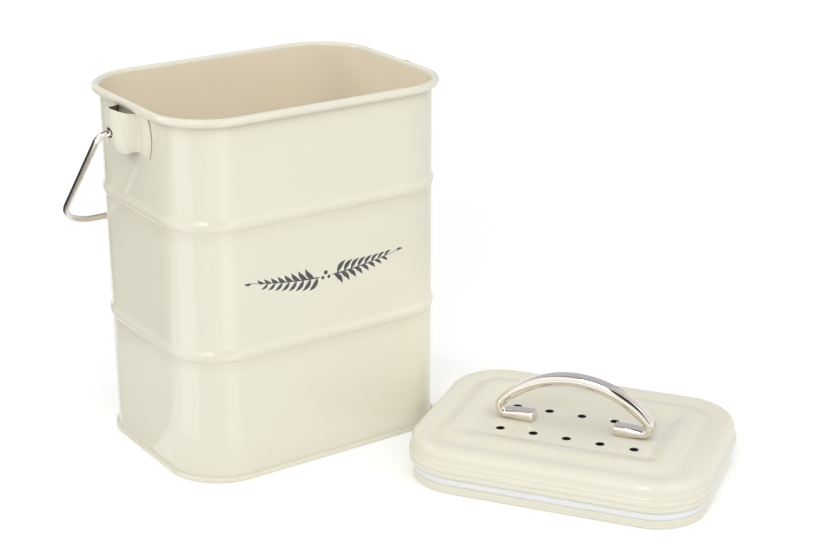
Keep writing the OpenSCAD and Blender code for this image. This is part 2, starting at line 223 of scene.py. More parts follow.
@dataclass(frozen=True)
class Place:
    """Where a sub-assembly stands: turned by yaw degrees about Z, then moved."""

    x: float = 0.0
    y: float = 0.0
    yaw: float = 0.0

    def put(self, points: Array) -> Array:
        """Turns and moves points.

        Args:
            points: points (n, 3).

        Returns:
            Array of the same shape.
        """
        c, s = math.cos(math.radians(self.yaw)), math.sin(math.radians(self.yaw))
        turned = points.copy()
        turned[:, 0] = self.x + c * points[:, 0] - s * points[:, 1]
        turned[:, 1] = self.y + s * points[:, 0] + c * points[:, 1]
        return turned


@dataclass
class Skin:
    """Gathers patches of surface and turns them into one closed mesh object."""

    name: str
    place: Place = Place()
    points: list[Array] = field(default_factory=list)
    faces: list[Array] = field(default_factory=list)
    pool_and_shade: list[Array] = field(default_factory=list)
    inner: list[Array] = field(default_factory=list)
    count: int = 0

    def add(self, points: Array, faces: Array, pool_and_shade: Array | None = None,
            inner: Array | None = None) -> None:
        """Adds a patch.

        Args:
            points: points, any shape ending in 3, numbered in order. faces: rows of point
            numbers. pool_and_shade: how much darker enamel each point gets, 0 to 1, pooled
            enamel with painted crease shade. inner: 1 where the surface looks into the vessel.
        """
        flat = np.asarray(points, float).reshape(-1, 3)
        self.points.append(flat)
        self.faces.append(faces + self.count)
        for kept, given in ((self.pool_and_shade, pool_and_shade), (self.inner, inner)):
            kept.append(np.zeros(len(flat)) if given is None else np.asarray(given, float).reshape(-1))
        self.count += len(flat)

    def add_grid(self, grid: Array, wrap_rows: bool = False, wrap_cols: bool = False,
                 pool_and_shade: Array | None = None, inner: Array | None = None) -> None:
        """Adds a grid of points as quads.

        Args:
            grid: points (rows, columns, 3). wrap_rows, wrap_cols: whether it closes that way.
            pool_and_shade, inner: as in add, with one value for each row.
        """
        rows, cols = grid.shape[:2]
        pool_and_shade, inner = (None if v is None else np.broadcast_to(v[:, None], (rows, cols)) for v in (pool_and_shade, inner))
        self.add(grid, grid_faces(rows, cols, wrap_rows, wrap_cols), pool_and_shade, inner)

    def build(self) -> bpy.types.Object:
        """Merges the patches, points the faces outward and makes the object.

        Returns:
            The object, at the origin, with the point attributes "pool_and_shade" and "inner".
        """
        points = self.place.put(np.concatenate(self.points)) * MM
        mesh = bpy.data.meshes.new(self.name)
        mesh.from_pydata(points.tolist(), [], np.concatenate(self.faces).tolist())
        # The first attribute marks darker enamel in creases: pooled enamel with painted crease shade.
        for name, values in (("pool_and_shade", self.pool_and_shade), ("inner", self.inner)):
            mesh.attributes.new(name, "FLOAT", "POINT").data.foreach_set("value", np.concatenate(values))
        work = bmesh.new()
        work.from_mesh(mesh)
        bmesh.ops.remove_doubles(work, verts=work.verts, dist=MERGE)
        bmesh.ops.dissolve_degenerate(work, edges=work.edges, dist=MERGE)
        bmesh.ops.recalc_face_normals(work, faces=work.faces)
        open_edges = sum(1 for e in work.edges if not e.is_manifold)
        work.to_mesh(mesh)
        work.free()
        mesh.shade_smooth()
        mesh.set_sharp_from_angle(angle=SHARP)
        if open_edges:
            LOG.warning("%s has %d open edges", self.name, open_edges)
        piece = bpy.data.objects.new(self.name, mesh)
        bpy.context.scene.collection.objects.link(piece)
        return piece


@dataclass(frozen=True)
class Hole:
    """A round hole in a sheet, in the sheet's own flat coordinates, with its square of grid lines."""

    u: float
    v: float
    r: float
    half: float


def pierced(us: Array, vs: Array, holes: Sequence[Hole], lip: float = 0.25) -> tuple[Array, Array, Array]:
    """A thick sheet on a flat grid, with round holes; its outline is left open.

    Cells of the grid outside the holes' squares are quads on both faces. Inside a square, the
    boundary nodes run in straight lines to the circle at their own bearing, and the circle's
    wall joins the two faces over a small rounded lip.

    Args:
        us, vs: grid lines, which include each hole's square. holes: the holes.
        lip: width of the rounded lip.

    Returns:
        Flat points (n, 2), depth of each point in the sheet, 0 outer to 1 inner, and quads.
    """
    flat = np.stack(np.meshgrid(us, vs, indexing="ij"), axis=-1).reshape(-1, 2)
    cells = grid_faces(len(us), len(vs))
    mid = flat[cells].mean(axis=1)
    keep = np.ones(len(cells), bool)
    for h in holes:
        keep &= ~((np.abs(mid[:, 0] - h.u) < h.half) & (np.abs(mid[:, 1] - h.v) < h.half))
    points, depth, faces, n = [flat, flat], [np.zeros(len(flat)), np.ones(len(flat))], [], len(flat)
    faces += [cells[keep], cells[keep][:, ::-1] + n]
    n *= 2
    for h in holes:
        a = us[np.abs(us - h.u) < h.half + 1e-6]
        b = vs[np.abs(vs - h.v) < h.half + 1e-6]
        edge = np.concatenate([np.stack([a[:-1], np.full(len(a) - 1, b[0])], 1),
                               np.stack([np.full(len(b) - 1, a[-1]), b[:-1]], 1),
                               np.stack([a[:0:-1], np.full(len(a) - 1, b[-1])], 1),
                               np.stack([np.full(len(b) - 1, a[0]), b[:0:-1]], 1)])
        ray = edge - [h.u, h.v]
        ray /= np.linalg.norm(ray, axis=1, keepdims=True)
        radii = [h.r + 1.2 * lip, h.r + 0.35 * lip, h.r, h.r, h.r + 0.35 * lip, h.r + 1.2 * lip]
        level = [0.0, 0.12, 0.4, 0.6, 0.88, 1.0]
        rows = [edge] + [np.array([h.u, h.v]) + ray * r for r in radii] + [edge]
        points.append(np.concatenate(rows))
        depth.append(np.repeat([0.0] + level + [1.0], len(edge)))
        faces.append(grid_faces(len(rows), len(edge), wrap_cols=True) + n)
        n += len(rows) * len(edge)
    return np.concatenate(points), np.concatenate(depth), np.concatenate(faces)


def sweep(path: Array, section: Array, axes: Array, origin: Array, chamfer: float) -> Array:
    """A bar of constant section along a path that lies in a plane, with chamfered ends.

    A point is origin + (p + a n) in the plane + b times the plane's normal, where p is the
    path's point, n its left normal, and (a, b) the section's point; the section shrinks to a
    point at the ends.

    Args:
        path: points (n, 2) in the plane. section: points (k, 2), or (n, k, 2) for one at each
            point of the path. axes: rows for the plane's two axes and its normal. origin: the
            plane's origin. chamfer: width of the ends' bevel.

    Returns:
        Array (rows, k, 3), to be joined round the columns.
    """
    d = np.gradient(path, axis=0)
    d /= np.linalg.norm(d, axis=1, keepdims=True)
    size = np.abs(section).max()
    first, last = path[:1], path[-1:]
    rows = np.concatenate([first, first, first + 0.3 * chamfer * d[:1], first + chamfer * d[:1],
                           path[1:-1], last - chamfer * d[-1:], last - 0.3 * chamfer * d[-1:], last, last])
    turn = np.concatenate([d[:1]] * 4 + [d[1:-1]] + [d[-1:]] * 4)
    full = np.array([1e-7, 1 - chamfer / size, 1 - 0.3 * chamfer / size, 1.0])
    scale = np.concatenate([full, np.ones(len(path) - 2), full[::-1]])
    left = np.stack([-turn[:, 1], turn[:, 0]], axis=1)
    shapes = np.broadcast_to(section, (len(path), *section.shape[-2:]))
    shapes = np.concatenate([shapes[:1]] * 3 + [shapes] + [shapes[-1:]] * 3) * scale[:, None, None]
    flat = rows[:, None] + left[:, None] * shapes[..., :1]
    deep = shapes[..., 1]
    return origin + flat[..., :1] * axes[0] + flat[..., 1:] * axes[1] + deep[..., None] * axes[2]


# ---------------------------------------------------------------- finishes


class Board:
    """Shorthand over a shader node tree."""

    def __init__(self, tree: bpy.types.NodeTree) -> None:
        """Keeps the tree."""
        self.tree = tree

    def node(self, kind: str, values: dict[str | int, Value] | None = None,
             **settings: object) -> bpy.types.Node:
        """Adds a node.

        Args:
            kind: the node's type. values: input socket names or numbers and what they get, a
                constant or another node's output. settings: attributes of the node.

        Returns:
            The node.
        """
        made = self.tree.nodes.new(kind)
        for key, value in settings.items():
            setattr(made, key, value)
        for key, value in (values or {}).items():
            if isinstance(value, bpy.types.NodeSocket):
                self.tree.links.new(value, made.inputs[key])
            else:
                made.inputs[key].default_value = value
        return made

    def noise(self, scale: Value, detail: float, where: Value, rough: float = 0.5) -> bpy.types.NodeSocket:
        """A noise field's value at a place."""
        return self.node("ShaderNodeTexNoise", {"Vector": where, "Scale": scale, "Detail": detail,
                                                "Roughness": rough}).outputs["Fac"]

    def span(self, value: Value, low: float, high: float, to_low: Value,
             to_high: Value) -> bpy.types.NodeSocket:
        """A value brought from low..high to to_low..to_high, and held there."""
        return self.node("ShaderNodeMapRange", {"Value": value, "From Min": low, "From Max": high,
                                                "To Min": to_low, "To Max": to_high}).outputs["Result"]

    def mix(self, share: Value, a: Value, b: Value) -> bpy.types.NodeSocket:
        """Mixes two colours.

        Args:
            share: how much of b, 0 to 1. a, b: the colours.

        Returns:
            The mixed colour's socket.
        """
        made = self.node("ShaderNodeMix", data_type="RGBA")
        for key, value in (("Factor", share), ("A", a), ("B", b)):
            kind = "VALUE" if key == "Factor" else "RGBA"
            spot = next(s for s in made.inputs if s.name == key and s.type == kind)
            if isinstance(value, bpy.types.NodeSocket):
                self.tree.links.new(value, spot)
            else:
                spot.default_value = value
        return next(s for s in made.outputs if s.type == "RGBA")

    def sum(self, a: Value, b: Value, how: str = "ADD") -> bpy.types.NodeSocket:
        """Two values added, or joined in another way."""
        return self.node("ShaderNodeMath", {0: a, 1: b}, operation=how).outputs[0]


class Effect(Enum):
    """Node groups that more than one finish uses."""

    DRIFT = "tint_drift"
    PEEL = "orange_peel"
    SCUFF = "scuffs"


def rgba(colour: Colour) -> tuple[float, float, float, float]:
    """A colour with full alpha."""
    return (*colour, 1.0)


def effect(kind: Effect) -> bpy.types.NodeTree:
    """The effect's node group, built at its first use.

    DRIFT mixes a base colour towards a shade by slow noise. PEEL is the long and short wave of
    sprayed and fired enamel, as a height. SCUFF is a roughness that varies in clouds and thin
    streaks, with the streaks' height.

    Args:
        kind: which effect.

    Returns:
        The node group.
    """
    found = bpy.data.node_groups.get(kind.value)
    if found:
        return found
    tree = bpy.data.node_groups.new(kind.value, "ShaderNodeTree")
    sockets = {
        Effect.DRIFT: ([("Base", "Color"), ("Shade", "Color"), ("Scale", "Float"), ("Amount", "Float")],
                       [("Color", "Color")]),
        Effect.PEEL: ([("Scale", "Float")], [("Height", "Float")]),
        Effect.SCUFF: ([("Scale", "Float"), ("Low", "Float"), ("High", "Float")],
                       [("Roughness", "Float"), ("Height", "Float")]),
    }[kind]
    for names, way in zip(sockets, ("INPUT", "OUTPUT")):
        for name, of_type in names:
            tree.interface.new_socket(name=name, in_out=way, socket_type="NodeSocket" + of_type)
    board = Board(tree)
    given = board.node("NodeGroupInput").outputs
    where = board.node("ShaderNodeTexCoord").outputs["Object"]
    if kind is Effect.DRIFT:
        cloud = board.noise(given["Scale"], 3.0, where)
        share = board.span(cloud, 0.3, 0.7, 0.0, given["Amount"])
        results = {"Color": board.mix(share, given["Base"], given["Shade"])}
    elif kind is Effect.PEEL:
        short = board.noise(given["Scale"], 1.0, where)
        long = board.noise(board.sum(given["Scale"], 0.22, "MULTIPLY"), 1.0, where)
        results = {"Height": board.sum(short, board.sum(long, 3.0, "MULTIPLY"))}
    else:
        cloud = board.noise(given["Scale"], 4.0, where)
        squeeze = board.node("ShaderNodeMapping", {"Vector": where, "Scale": (1.0, 1.0, 22.0)}).outputs[0]
        streak = board.span(board.noise(board.sum(given["Scale"], 3.0, "MULTIPLY"), 5.0, squeeze, 0.7),
                            0.56, 0.72, 0.0, 1.0)
        both = board.sum(board.span(cloud, 0.35, 0.7, 0.0, 0.6), board.sum(streak, 0.4, "MULTIPLY"))
        results = {"Roughness": board.span(both, 0.0, 1.0, given["Low"], given["High"]), "Height": streak}
    board.node("NodeGroupOutput", results)
    return tree


@dataclass(frozen=True)
class Finish:
    """A surface finish: constants on the shader, and how its colour, gloss and height vary.

    Attributes:
        name: material name. colour, shade: base colour and what it drifts to. drift: strength
            and size per metre of that. gloss: lowest and highest roughness and the scuffs' size
            per metre. relief: height in metres and size per metre of the surface texture.
        pool_and_shade_colour, inside: colours where the point attributes "pool_and_shade"
        and "inner" are 1. The first is darker enamel in creases, pooled enamel with painted
        crease shade; the second is a painted inside: warm bounce light in the body, deep shade
        in the ears. fibres: whether the relief is felted fibres and not enamel's wave.
    """

    name: str
    colour: Colour
    shade: Colour
    drift: tuple[float, float] = (0.5, 12.0)
    gloss: tuple[float, float, float] = (0.2, 0.3, 60.0)
    relief: tuple[float, float] = (1e-5, 300.0)
    metallic: float = 0.0
    ior: float = 1.5
    pool_and_shade_colour: Colour | None = None
    inside: Colour | None = None
    fibres: bool = False

    def material(self) -> bpy.types.Material:
        """The finish's material, built at its first use."""
        found = bpy.data.materials.get(self.name)
        return found if found else self._build()

    def _build(self) -> bpy.types.Material:
        """Makes the node tree: drifted colour, scuffed roughness, relief in the normal."""
        made = bpy.data.materials.new(self.name)
        made.use_nodes = True
        made.node_tree.nodes.clear()
        board = Board(made.node_tree)
        shader = board.node("ShaderNodeBsdfPrincipled", {"Metallic": self.metallic, "IOR": self.ior})
        board.node("ShaderNodeOutputMaterial", {"Surface": shader.outputs[0]})
        tint = board.node("ShaderNodeGroup", {"Base": rgba(self.colour), "Shade": rgba(self.shade),
                                              "Amount": self.drift[0], "Scale": self.drift[1]},
                          node_tree=effect(Effect.DRIFT))
        colour = tint.outputs["Color"]
        # Painted light and shade: the inside colour paints warm bounce light in the body and deep shade in the
        # ears; the pool colour paints darker enamel in creases, pooled enamel with painted crease shade.
        for name, other in (("inner", self.inside), ("pool_and_shade", self.pool_and_shade_colour)):
            if other:
                share = board.node("ShaderNodeAttribute", attribute_name=name).outputs["Fac"]
                colour = board.mix(share, colour, rgba(other))
        low, high, size = self.gloss
        scuff = board.node("ShaderNodeGroup", {"Low": low, "High": high, "Scale": size},
                           node_tree=effect(Effect.SCUFF))
        if self.fibres:
            where = board.node("ShaderNodeTexCoord").outputs["Object"]
            height = board.noise(self.relief[1], 6.0, where, 0.75)
            colour = board.mix(board.span(height, 0.45, 0.75, 0.0, 1.0), colour, rgba(self.shade))
        else:
            peel = board.node("ShaderNodeGroup", {"Scale": self.relief[1]}, node_tree=effect(Effect.PEEL))
            scratches = board.sum(scuff.outputs["Height"], 0.15, "MULTIPLY")
            height = board.sum(peel.outputs["Height"], scratches, "SUBTRACT")
        bump = board.node("ShaderNodeBump", {"Strength": 1.0, "Distance": self.relief[0], "Height": height})
        for key, value in (("Base Color", colour), ("Roughness", scuff.outputs["Roughness"]),
                           ("Normal", bump.outputs[0])):
            board.tree.links.new(value, shader.inputs[key])
        return made


# The body's pool colour is darker enamel in creases, pooled enamel with painted crease shade; its inside colour,
# warmer and lighter than the outside, is painted warm bounce light inside the vessel.
CREAM = Finish("body_enamel", (0.79, 0.765, 0.640), (0.765, 0.735, 0.605), drift=(0.6, 9.0),
               gloss=(0.07, 0.13, 40.0), relief=(5e-6, 330.0), pool_and_shade_colour=(0.70, 0.655, 0.53),
               inside=(0.87, 0.79, 0.635))
# The ear's dark inside colour is painted shade in the hollow behind the hump.
EAR_CREAM_SHADED_INSIDE = replace(CREAM, name="ear_enamel_shaded_inside", inside=(0.20, 0.17, 0.13))
# The lid's pool colour is darker enamel in its scored lines and crease: pooled enamel with painted crease shade.
LID_CREAM = Finish("lid_enamel", (0.82, 0.795, 0.675), (0.79, 0.76, 0.635), drift=(0.6, 14.0),
                   gloss=(0.05, 0.10, 50.0), relief=(5e-6, 330.0), pool_and_shade_colour=(0.73, 0.69, 0.57))
CHROME = Finish("chrome_plate", (0.80, 0.742, 0.682), (0.765, 0.70, 0.635), drift=(0.7, 60.0),
                gloss=(0.06, 0.12, 120.0), relief=(7e-7, 400.0), metallic=1.0)
SEAL = Finish("seal_rubber", (0.86, 0.86, 0.86), (0.80, 0.80, 0.79), drift=(0.5, 30.0),
              gloss=(0.38, 0.52, 80.0), relief=(1.2e-5, 900.0), ior=1.42)
STEEL = Finish("bright_steel", (0.62, 0.61, 0.60), (0.50, 0.49, 0.48), drift=(0.6, 70.0),
               gloss=(0.22, 0.42, 90.0), relief=(4e-6, 900.0), metallic=1.0)
FELT = Finish("filter_felt", (0.004, 0.004, 0.004), (0.020, 0.019, 0.019), drift=(0.7, 120.0),
              gloss=(0.90, 1.0, 200.0), relief=(1.5e-4, 1400.0), ior=1.15, fibres=True)
INK = Finish("leaf_print_ink", (0.062, 0.062, 0.070), (0.085, 0.085, 0.092), drift=(0.8, 150.0),
             gloss=(0.22, 0.34, 150.0), relief=(4e-6, 1500.0))


def dress(piece: bpy.types.Object, finish: Finish, body: Body,
          nodes: Sequence[str] = ()) -> bpy.types.Object:
    """Gives a new piece its finish, its body and the CAD nodes that it stands for.

    Args:
        piece: the object. finish: its finish. body: what it rides on.
        nodes: the CAD nodes that it replaces.

    Returns:
        The piece.
    """
    piece.data.materials.append(finish.material())
    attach(piece, body.value)
    if nodes:
        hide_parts(*nodes)
    piece.data.calc_loop_triangles()
    LOG.info("%s: %d triangles, on %s", piece.name, len(piece.data.loop_triangles), body.value)
    return piece


# ---------------------------------------------------------------- body


@dataclass
class CaddyWall:
    """The rolled side wall with its two pressed beads and rolled rim."""

    hx: float = 83.5
    hy: float = 61.2
    corner: float = 31.0
    sheet: float = 0.6
    foot_z: float = 0.7
    rim_r: float = 2.3
    rim_z: float = 203.1
    beads: tuple[float, float] = (74.3, 147.3)
    bead_out: float = 1.2
    bead_half: float = 4.0
    crown: float = 0.14

    def path(self) -> PlanPath:
        """The wall's round trip, fine enough for the slow waves of its flats."""
        return PlanPath.make(26, np.linspace(-1, 1, 22)[1:-1], np.linspace(-1, 1, 14)[1:-1])

    def bead(self, z: Array) -> Array:
        """How far the beads stand out from the wall.

        Above a bead's middle it falls as a cosine, below as a parabola that meets the wall in
        a crease.

        Args:
            z: heights.

        Returns:
            The outward distances.
        """
        out = np.zeros_like(z)
        for mid in self.beads:
            t = (z - mid) / self.bead_half
            out += np.where((t >= 0) & (t < 1), 0.5 * (1 + np.cos(math.pi * t)), 0.0)
            out += np.where((t < 0) & (t > -1), 1 - t * t, 0.0)
        return self.bead_out * out

    def swell(self, belly: Array, turn: Array, z: Array) -> Array:
        """Slow crown and waviness of the flats between the beads, outward in mm.

        The crown is the side's parabola times a half sine in each band's height; two low sine
        waves go with it.

        Args:
            belly: 1 at the middle of a side, 0 in the corners. turn: a phase round the wall.
            z: height.

        Returns:
            The outward distance.
        """
        (lower, upper), b = self.beads, self.bead_half
        stops = np.array([0.0, lower - b, lower + b, upper - b, upper + b, self.rim_z - 2])
        band = np.zeros_like(z)
        for lo, hi in stops.reshape(3, 2):
            band += np.where((z > lo) & (z < hi), np.sin(math.pi * (z - lo) / (hi - lo)), 0.0)
        wave = 0.035 * np.sin(z / 23.0 + 2.1 * turn) + 0.03 * np.sin(z / 41.0 - 3.7 * turn + 1.0)
        return np.maximum(band, 0.0) ** 0.8 * belly * (self.crown + wave)

    def heights(self) -> Array:
        """Heights of the outer wall's rows, close together at the beads.

        Returns:
            Array of heights, from the rim down.
        """
        marks = [self.rim_z, self.rim_z - 3]
        last = self.rim_z - 3
        for mid in self.beads[::-1]:
            top, low = mid + self.bead_half, mid - self.bead_half
            marks += list(np.linspace(last, top, 9)[1:])
            marks += list(np.linspace(top, mid, 9)[1:]) + list(np.linspace(mid, low, 9)[1:])
            marks += [low - 0.25]
            last = low - 0.25
        return np.array(marks + list(np.linspace(last, self.foot_z, 11)[1:]))

    def build(self) -> bpy.types.Object:
        """Carries the wall's closed section round the plan and adds the flats' swell.

        Enamel is darker, as bells of the height, under the rim and in the beads' creases: pooled
        enamel with painted crease shade. The inner face gets the finish's painted warm bounce light.

        Returns:
            The dressed piece.
        """
        z = self.heights()
        down = np.stack([self.bead(z), z], axis=1)
        up = np.stack([self.bead(z[::-1]) - self.sheet, z[::-1]], axis=1)
        cx = self.rim_r - self.sheet
        curl = arc(cx, self.rim_z, self.rim_r, 180, -134, 40)[1:]
        back = arc(cx, self.rim_z, self.rim_r - self.sheet, -134, 180, 36)[:-1]
        section = np.concatenate([up, curl, back, down])
        path = self.path()
        grid = path.offset_rings(self.hx, self.hy, self.corner, section)
        turn = np.arctan2(path.centre[:, 1], path.centre[:, 0])
        swell = self.swell(path.belly[None], turn[None], section[:, 1:2])
        grid[..., :2] += swell[..., None] * path.normal[None]
        # Painted crease shade with pooled enamel: darker bells under the rim and below each bead.
        under = np.exp(-((section[:, 1] - (self.rim_z - 2.6)) / 1.2) ** 2)
        for mid in self.beads:
            under += np.exp(-((section[:, 1] - (mid - self.bead_half)) / 0.7) ** 2)
        under *= section[:, 0] > -0.05
        # The inner face gets the body finish's painted warm bounce light.
        inner = (np.arange(len(section)) < len(up)).astype(float)
        skin = Skin("caddy_wall")
        skin.add_grid(grid, True, True, 0.55 * under, inner)
        return dress(skin.build(), CREAM, Body.CADDY, ["body_wrap"])

    def front(self, x: Array, z: Array) -> Array:
        """The front wall's surface, with beads and swell.

        Args:
            x, z: places on the front.

        Returns:
            Its place along Y there.
        """
        share = x / (self.hx - self.corner)
        turn = np.arctan2(-1.0, share)
        return -(self.hy + self.bead(z) + self.swell(np.clip(1 - share ** 2, 0, 1), turn, z))


@dataclass
class CaddyBase:
    """The base seamed round the wall's foot, with its raised stiffening panel."""

    wall: CaddyWall
    height: float = 2.8
    pan_z: float = 3.6
    rise: float = 1.4
    crown: float = 0.25
    inset: float = 14.0
    slope: float = 2.8
    slab_in: float = 38.0
    sheet: float = 0.6
    nose: float = 0.9
    lap: float = 1.2
    lap_z: float = 2.2

    def build(self) -> bpy.types.Object:
        """Carries one closed section round the plan, from the seam over the base to the panel.

        The panel's slope is a half cosine. Its middle is two flat fans to a point, one on each
        face.

        Returns:
            The dressed piece.
        """
        t, nose, pan = self.sheet, self.nose, self.pan_z
        seam = run([[-self.lap, 0.0]], arc(nose, nose, nose, -90, 0, 8),
                   arc(nose, self.height - nose, nose, 0, 90, 8),
                   [[0.02, self.height], [0.02, self.lap_z], [self.lap, self.lap_z],
                    [self.lap, t], [-t, t], [-t, pan]])
        x = np.linspace(0, 1, 9)
        top = np.stack([-self.inset - self.slope * x, pan + self.rise * (1 - np.cos(math.pi * x)) / 2], axis=1)
        centre = [[-self.slab_in, pan + self.rise + self.crown]]
        lower = np.concatenate([top, centre])[::-1] - [0.0, t]
        section = run(seam, eased([[-t, pan], [-6, pan], [-self.inset, pan]], [0, 2, 0]), top[1:], centre,
                      lower, [[-1.9, pan - t], [-self.lap, pan - 1.2]])
        hx, hy = self.wall.hx + section[:, 0], self.wall.hy + section[:, 0]
        r = np.maximum(self.wall.corner + section[:, 0], 0.6)
        skin = Skin("caddy_base")
        grid = self.wall.path().rings(hx, np.maximum(hy, r + 0.2), r, section[:, 1])
        rows = np.flatnonzero(section[:, 0] <= section[:, 0].min() + MERGE)
        # The base's inside face gets the body finish's painted warm bounce light.
        inside = (np.arange(len(grid)) <= rows[0]) & (section[:, 1] > pan - 0.01)
        skin.add(grid, self._ring_faces(len(grid), grid.shape[1], rows),
                 inner=np.broadcast_to(inside[:, None], grid.shape[:2]))
        for row in rows:
            ring = grid[row]
            middle = ring.copy()
            middle[:, :2] *= 1e-7
            skin.add_grid(np.stack([ring, 0.5 * (ring + middle), middle]), wrap_cols=True,
                          inner=np.full(3, float(row == rows[0])))
        return dress(skin.build(), CREAM, Body.CADDY, ["base_pan"])

    @staticmethod
    def _ring_faces(rows: int, cols: int, ends: Array) -> Array:
        """Quads of the closed section without the strip between its two inner end rows.

        Args:
            rows, cols: size of the grid. ends: the two inner end rows.

        Returns:
            Array of point numbers (quads, 4).
        """
        faces = grid_faces(rows, cols, True, True)
        first = faces[:, 0] // cols
        second = faces[:, 1] // cols
        between = np.isin(first, ends) & np.isin(second, ends)
        return faces[~between]


@dataclass
class Ear:
    """A pressed ear: a barrel hump with flared feet on a bowed flange, holed for the bail.

    Attributes:
        zones: flat widths from the middle to where the hump, the fillet and the flange end.
        lift_x: distances from the wall between which the upper edge's lift grows.
        foot_rise, foot_spot: the lower edge's rise at the hump's feet, its place and width.
        square: half side of the square of grid lines round the hole.
    """

    side: int
    wall_x: float = 83.5
    mid_z: float = 189.2
    half_h: float = 11.2
    sheet: float = 0.8
    hump: float = 12.6
    hump_end: float = 11.25
    foot_in: float = 1.6
    fillet: float = 3.0
    half_w: float = 22.0
    bow: float = 3.2
    hole_r: float = 2.75
    lift: float = 1.9
    lift_x: tuple[float, float] = (5.5, 12.0)
    foot_rise: float = 1.1
    foot_spot: tuple[float, float] = (14.0, 4.0)
    flange_drop: float = 0.5
    flange_u: float = 18.0
    zones: tuple[float, float, float] = (13.0, 17.0, 27.0)
    square: float = 4.2

    def surface(self, flat: Array, depth: Array) -> Array:
        """Places flat points on the ear.

        Across, the first zone of |u| is the hump's arc, the second the fillet's arc tangent to
        hump and flange, and the third the flange. The hump's radius falls as a parabola from
        its middle height, and below that also as a fourth power. Depth moves a point from the
        outer to the inner face along the same radii. The upper edge rises over the hump's
        front, clear of the rim, and the lower edge rises as a bell at the hump's feet; both
        shifts fade out as squares before the hole.

        Args:
            flat: (u, height from the middle). depth: 0 outer face to 1 inner face.

        Returns:
            Points (n, 3), standing out along +X from the wall at X = 0.
        """
        u, h = np.abs(flat[:, 0]), flat[:, 1] / self.half_h
        big = self.hump - (self.hump - self.hump_end) * h ** 2 - self.foot_in * np.clip(-h, 0, 1) ** 4
        t, f = self.sheet, self.fillet
        hump_u, fillet_u, flange_u = self.zones
        yc = np.sqrt((big + f) ** 2 - (t + f) ** 2)
        phi = np.arctan2(yc, t + f)
        width = self.half_w + self.bow * (1 - h ** 2)
        ang = phi * np.clip(u / hump_u, 0, 1)
        r = big - depth * t
        beta = math.pi + phi * (1 - np.clip((u - hump_u) / (fillet_u - hump_u), 0, 1))
        g = f + depth * t
        flange = yc + (width - yc) * np.clip((u - fillet_u) / (flange_u - fillet_u), 0, 1)
        on = [u <= hump_u, u <= fillet_u]
        x = np.select(on, [r * np.cos(ang), t + f + g * np.cos(beta)], t * (1 - depth))
        y = np.select(on, [r * np.sin(ang), yc + g * np.sin(beta)], flange)
        far = np.clip((np.abs(h) - 0.4) / 0.6, 0, 1) ** 2
        near_x, far_x = self.lift_x
        rise = self.lift * np.clip((x - near_x) / (far_x - near_x), 0, 1)
        spot, wide = self.foot_spot
        feet = self.foot_rise * np.exp(-((u - spot) / wide) ** 2)
        feet -= self.flange_drop * np.clip((u - self.flange_u) / (flange_u - self.flange_u), 0, 1)
        z = self.mid_z + flat[:, 1] + far * np.where(h > 0, rise, feet)
        return np.stack([x, y * np.sign(flat[:, 0] + 1e-12), z], axis=1)

    def build(self) -> bpy.types.Object:
        """Lays the pierced sheet on the ear's surface and closes its outline.

        Returns:
            The dressed piece.
        """
        half, (hump_u, fillet_u, flange_u) = self.square, self.zones
        us = np.concatenate([np.linspace(-flange_u, -fillet_u, 7), np.linspace(-fillet_u, -hump_u, 8)[1:],
                             np.linspace(-hump_u, -half, 10)[1:], np.linspace(-half, half, 11)[1:]])
        us = np.unique(np.round(np.concatenate([us, -us]), 6))
        vs = np.concatenate([np.linspace(-self.half_h, -half, 7), np.linspace(-half, half, 11),
                             np.linspace(half, self.half_h, 7)])
        vs = np.unique(np.round(vs, 6))
        flat, depth, faces = pierced(us, vs, [Hole(0, 0, self.hole_r, half)], lip=0.3)
        skin = Skin("ear_left_skin" if self.side < 0 else "ear_right_skin")
        edge = np.concatenate([np.stack([us, np.full(len(us), vs[0])], 1),
                               np.stack([np.full(len(vs) - 1, us[-1]), vs[1:]], 1),
                               np.stack([us[-2::-1], np.full(len(us) - 1, vs[-1])], 1),
                               np.stack([np.full(len(vs) - 2, us[0]), vs[-2:0:-1]], 1)])
        rim = np.stack([self.surface(edge, np.zeros(len(edge))), self.surface(edge, np.ones(len(edge)))])
        deep = np.repeat([0.0, 1.0], len(edge))
        # The inner face, depth 1, gets the ear finish's dark inside colour: painted shade behind the hump.
        for points, quads, inner in ((self.surface(flat, depth), faces, depth),
                                     (rim.reshape(-1, 3), grid_faces(2, len(edge), wrap_cols=True), deep)):
            points[:, 0] = self.side * (self.wall_x + points[:, 0])
            skin.add(points, quads, inner=inner)
        piece = skin.build()
        bevel = piece.modifiers.new("soft_edge", "BEVEL")
        bevel.width, bevel.segments = 0.22 * MM, 2
        bevel.limit_method, bevel.angle_limit = "ANGLE", math.radians(50)
        node = "ear_left" if self.side < 0 else "ear_right"
        return dress(piece, EAR_CREAM_SHADED_INSIDE, Body.CADDY, [node])


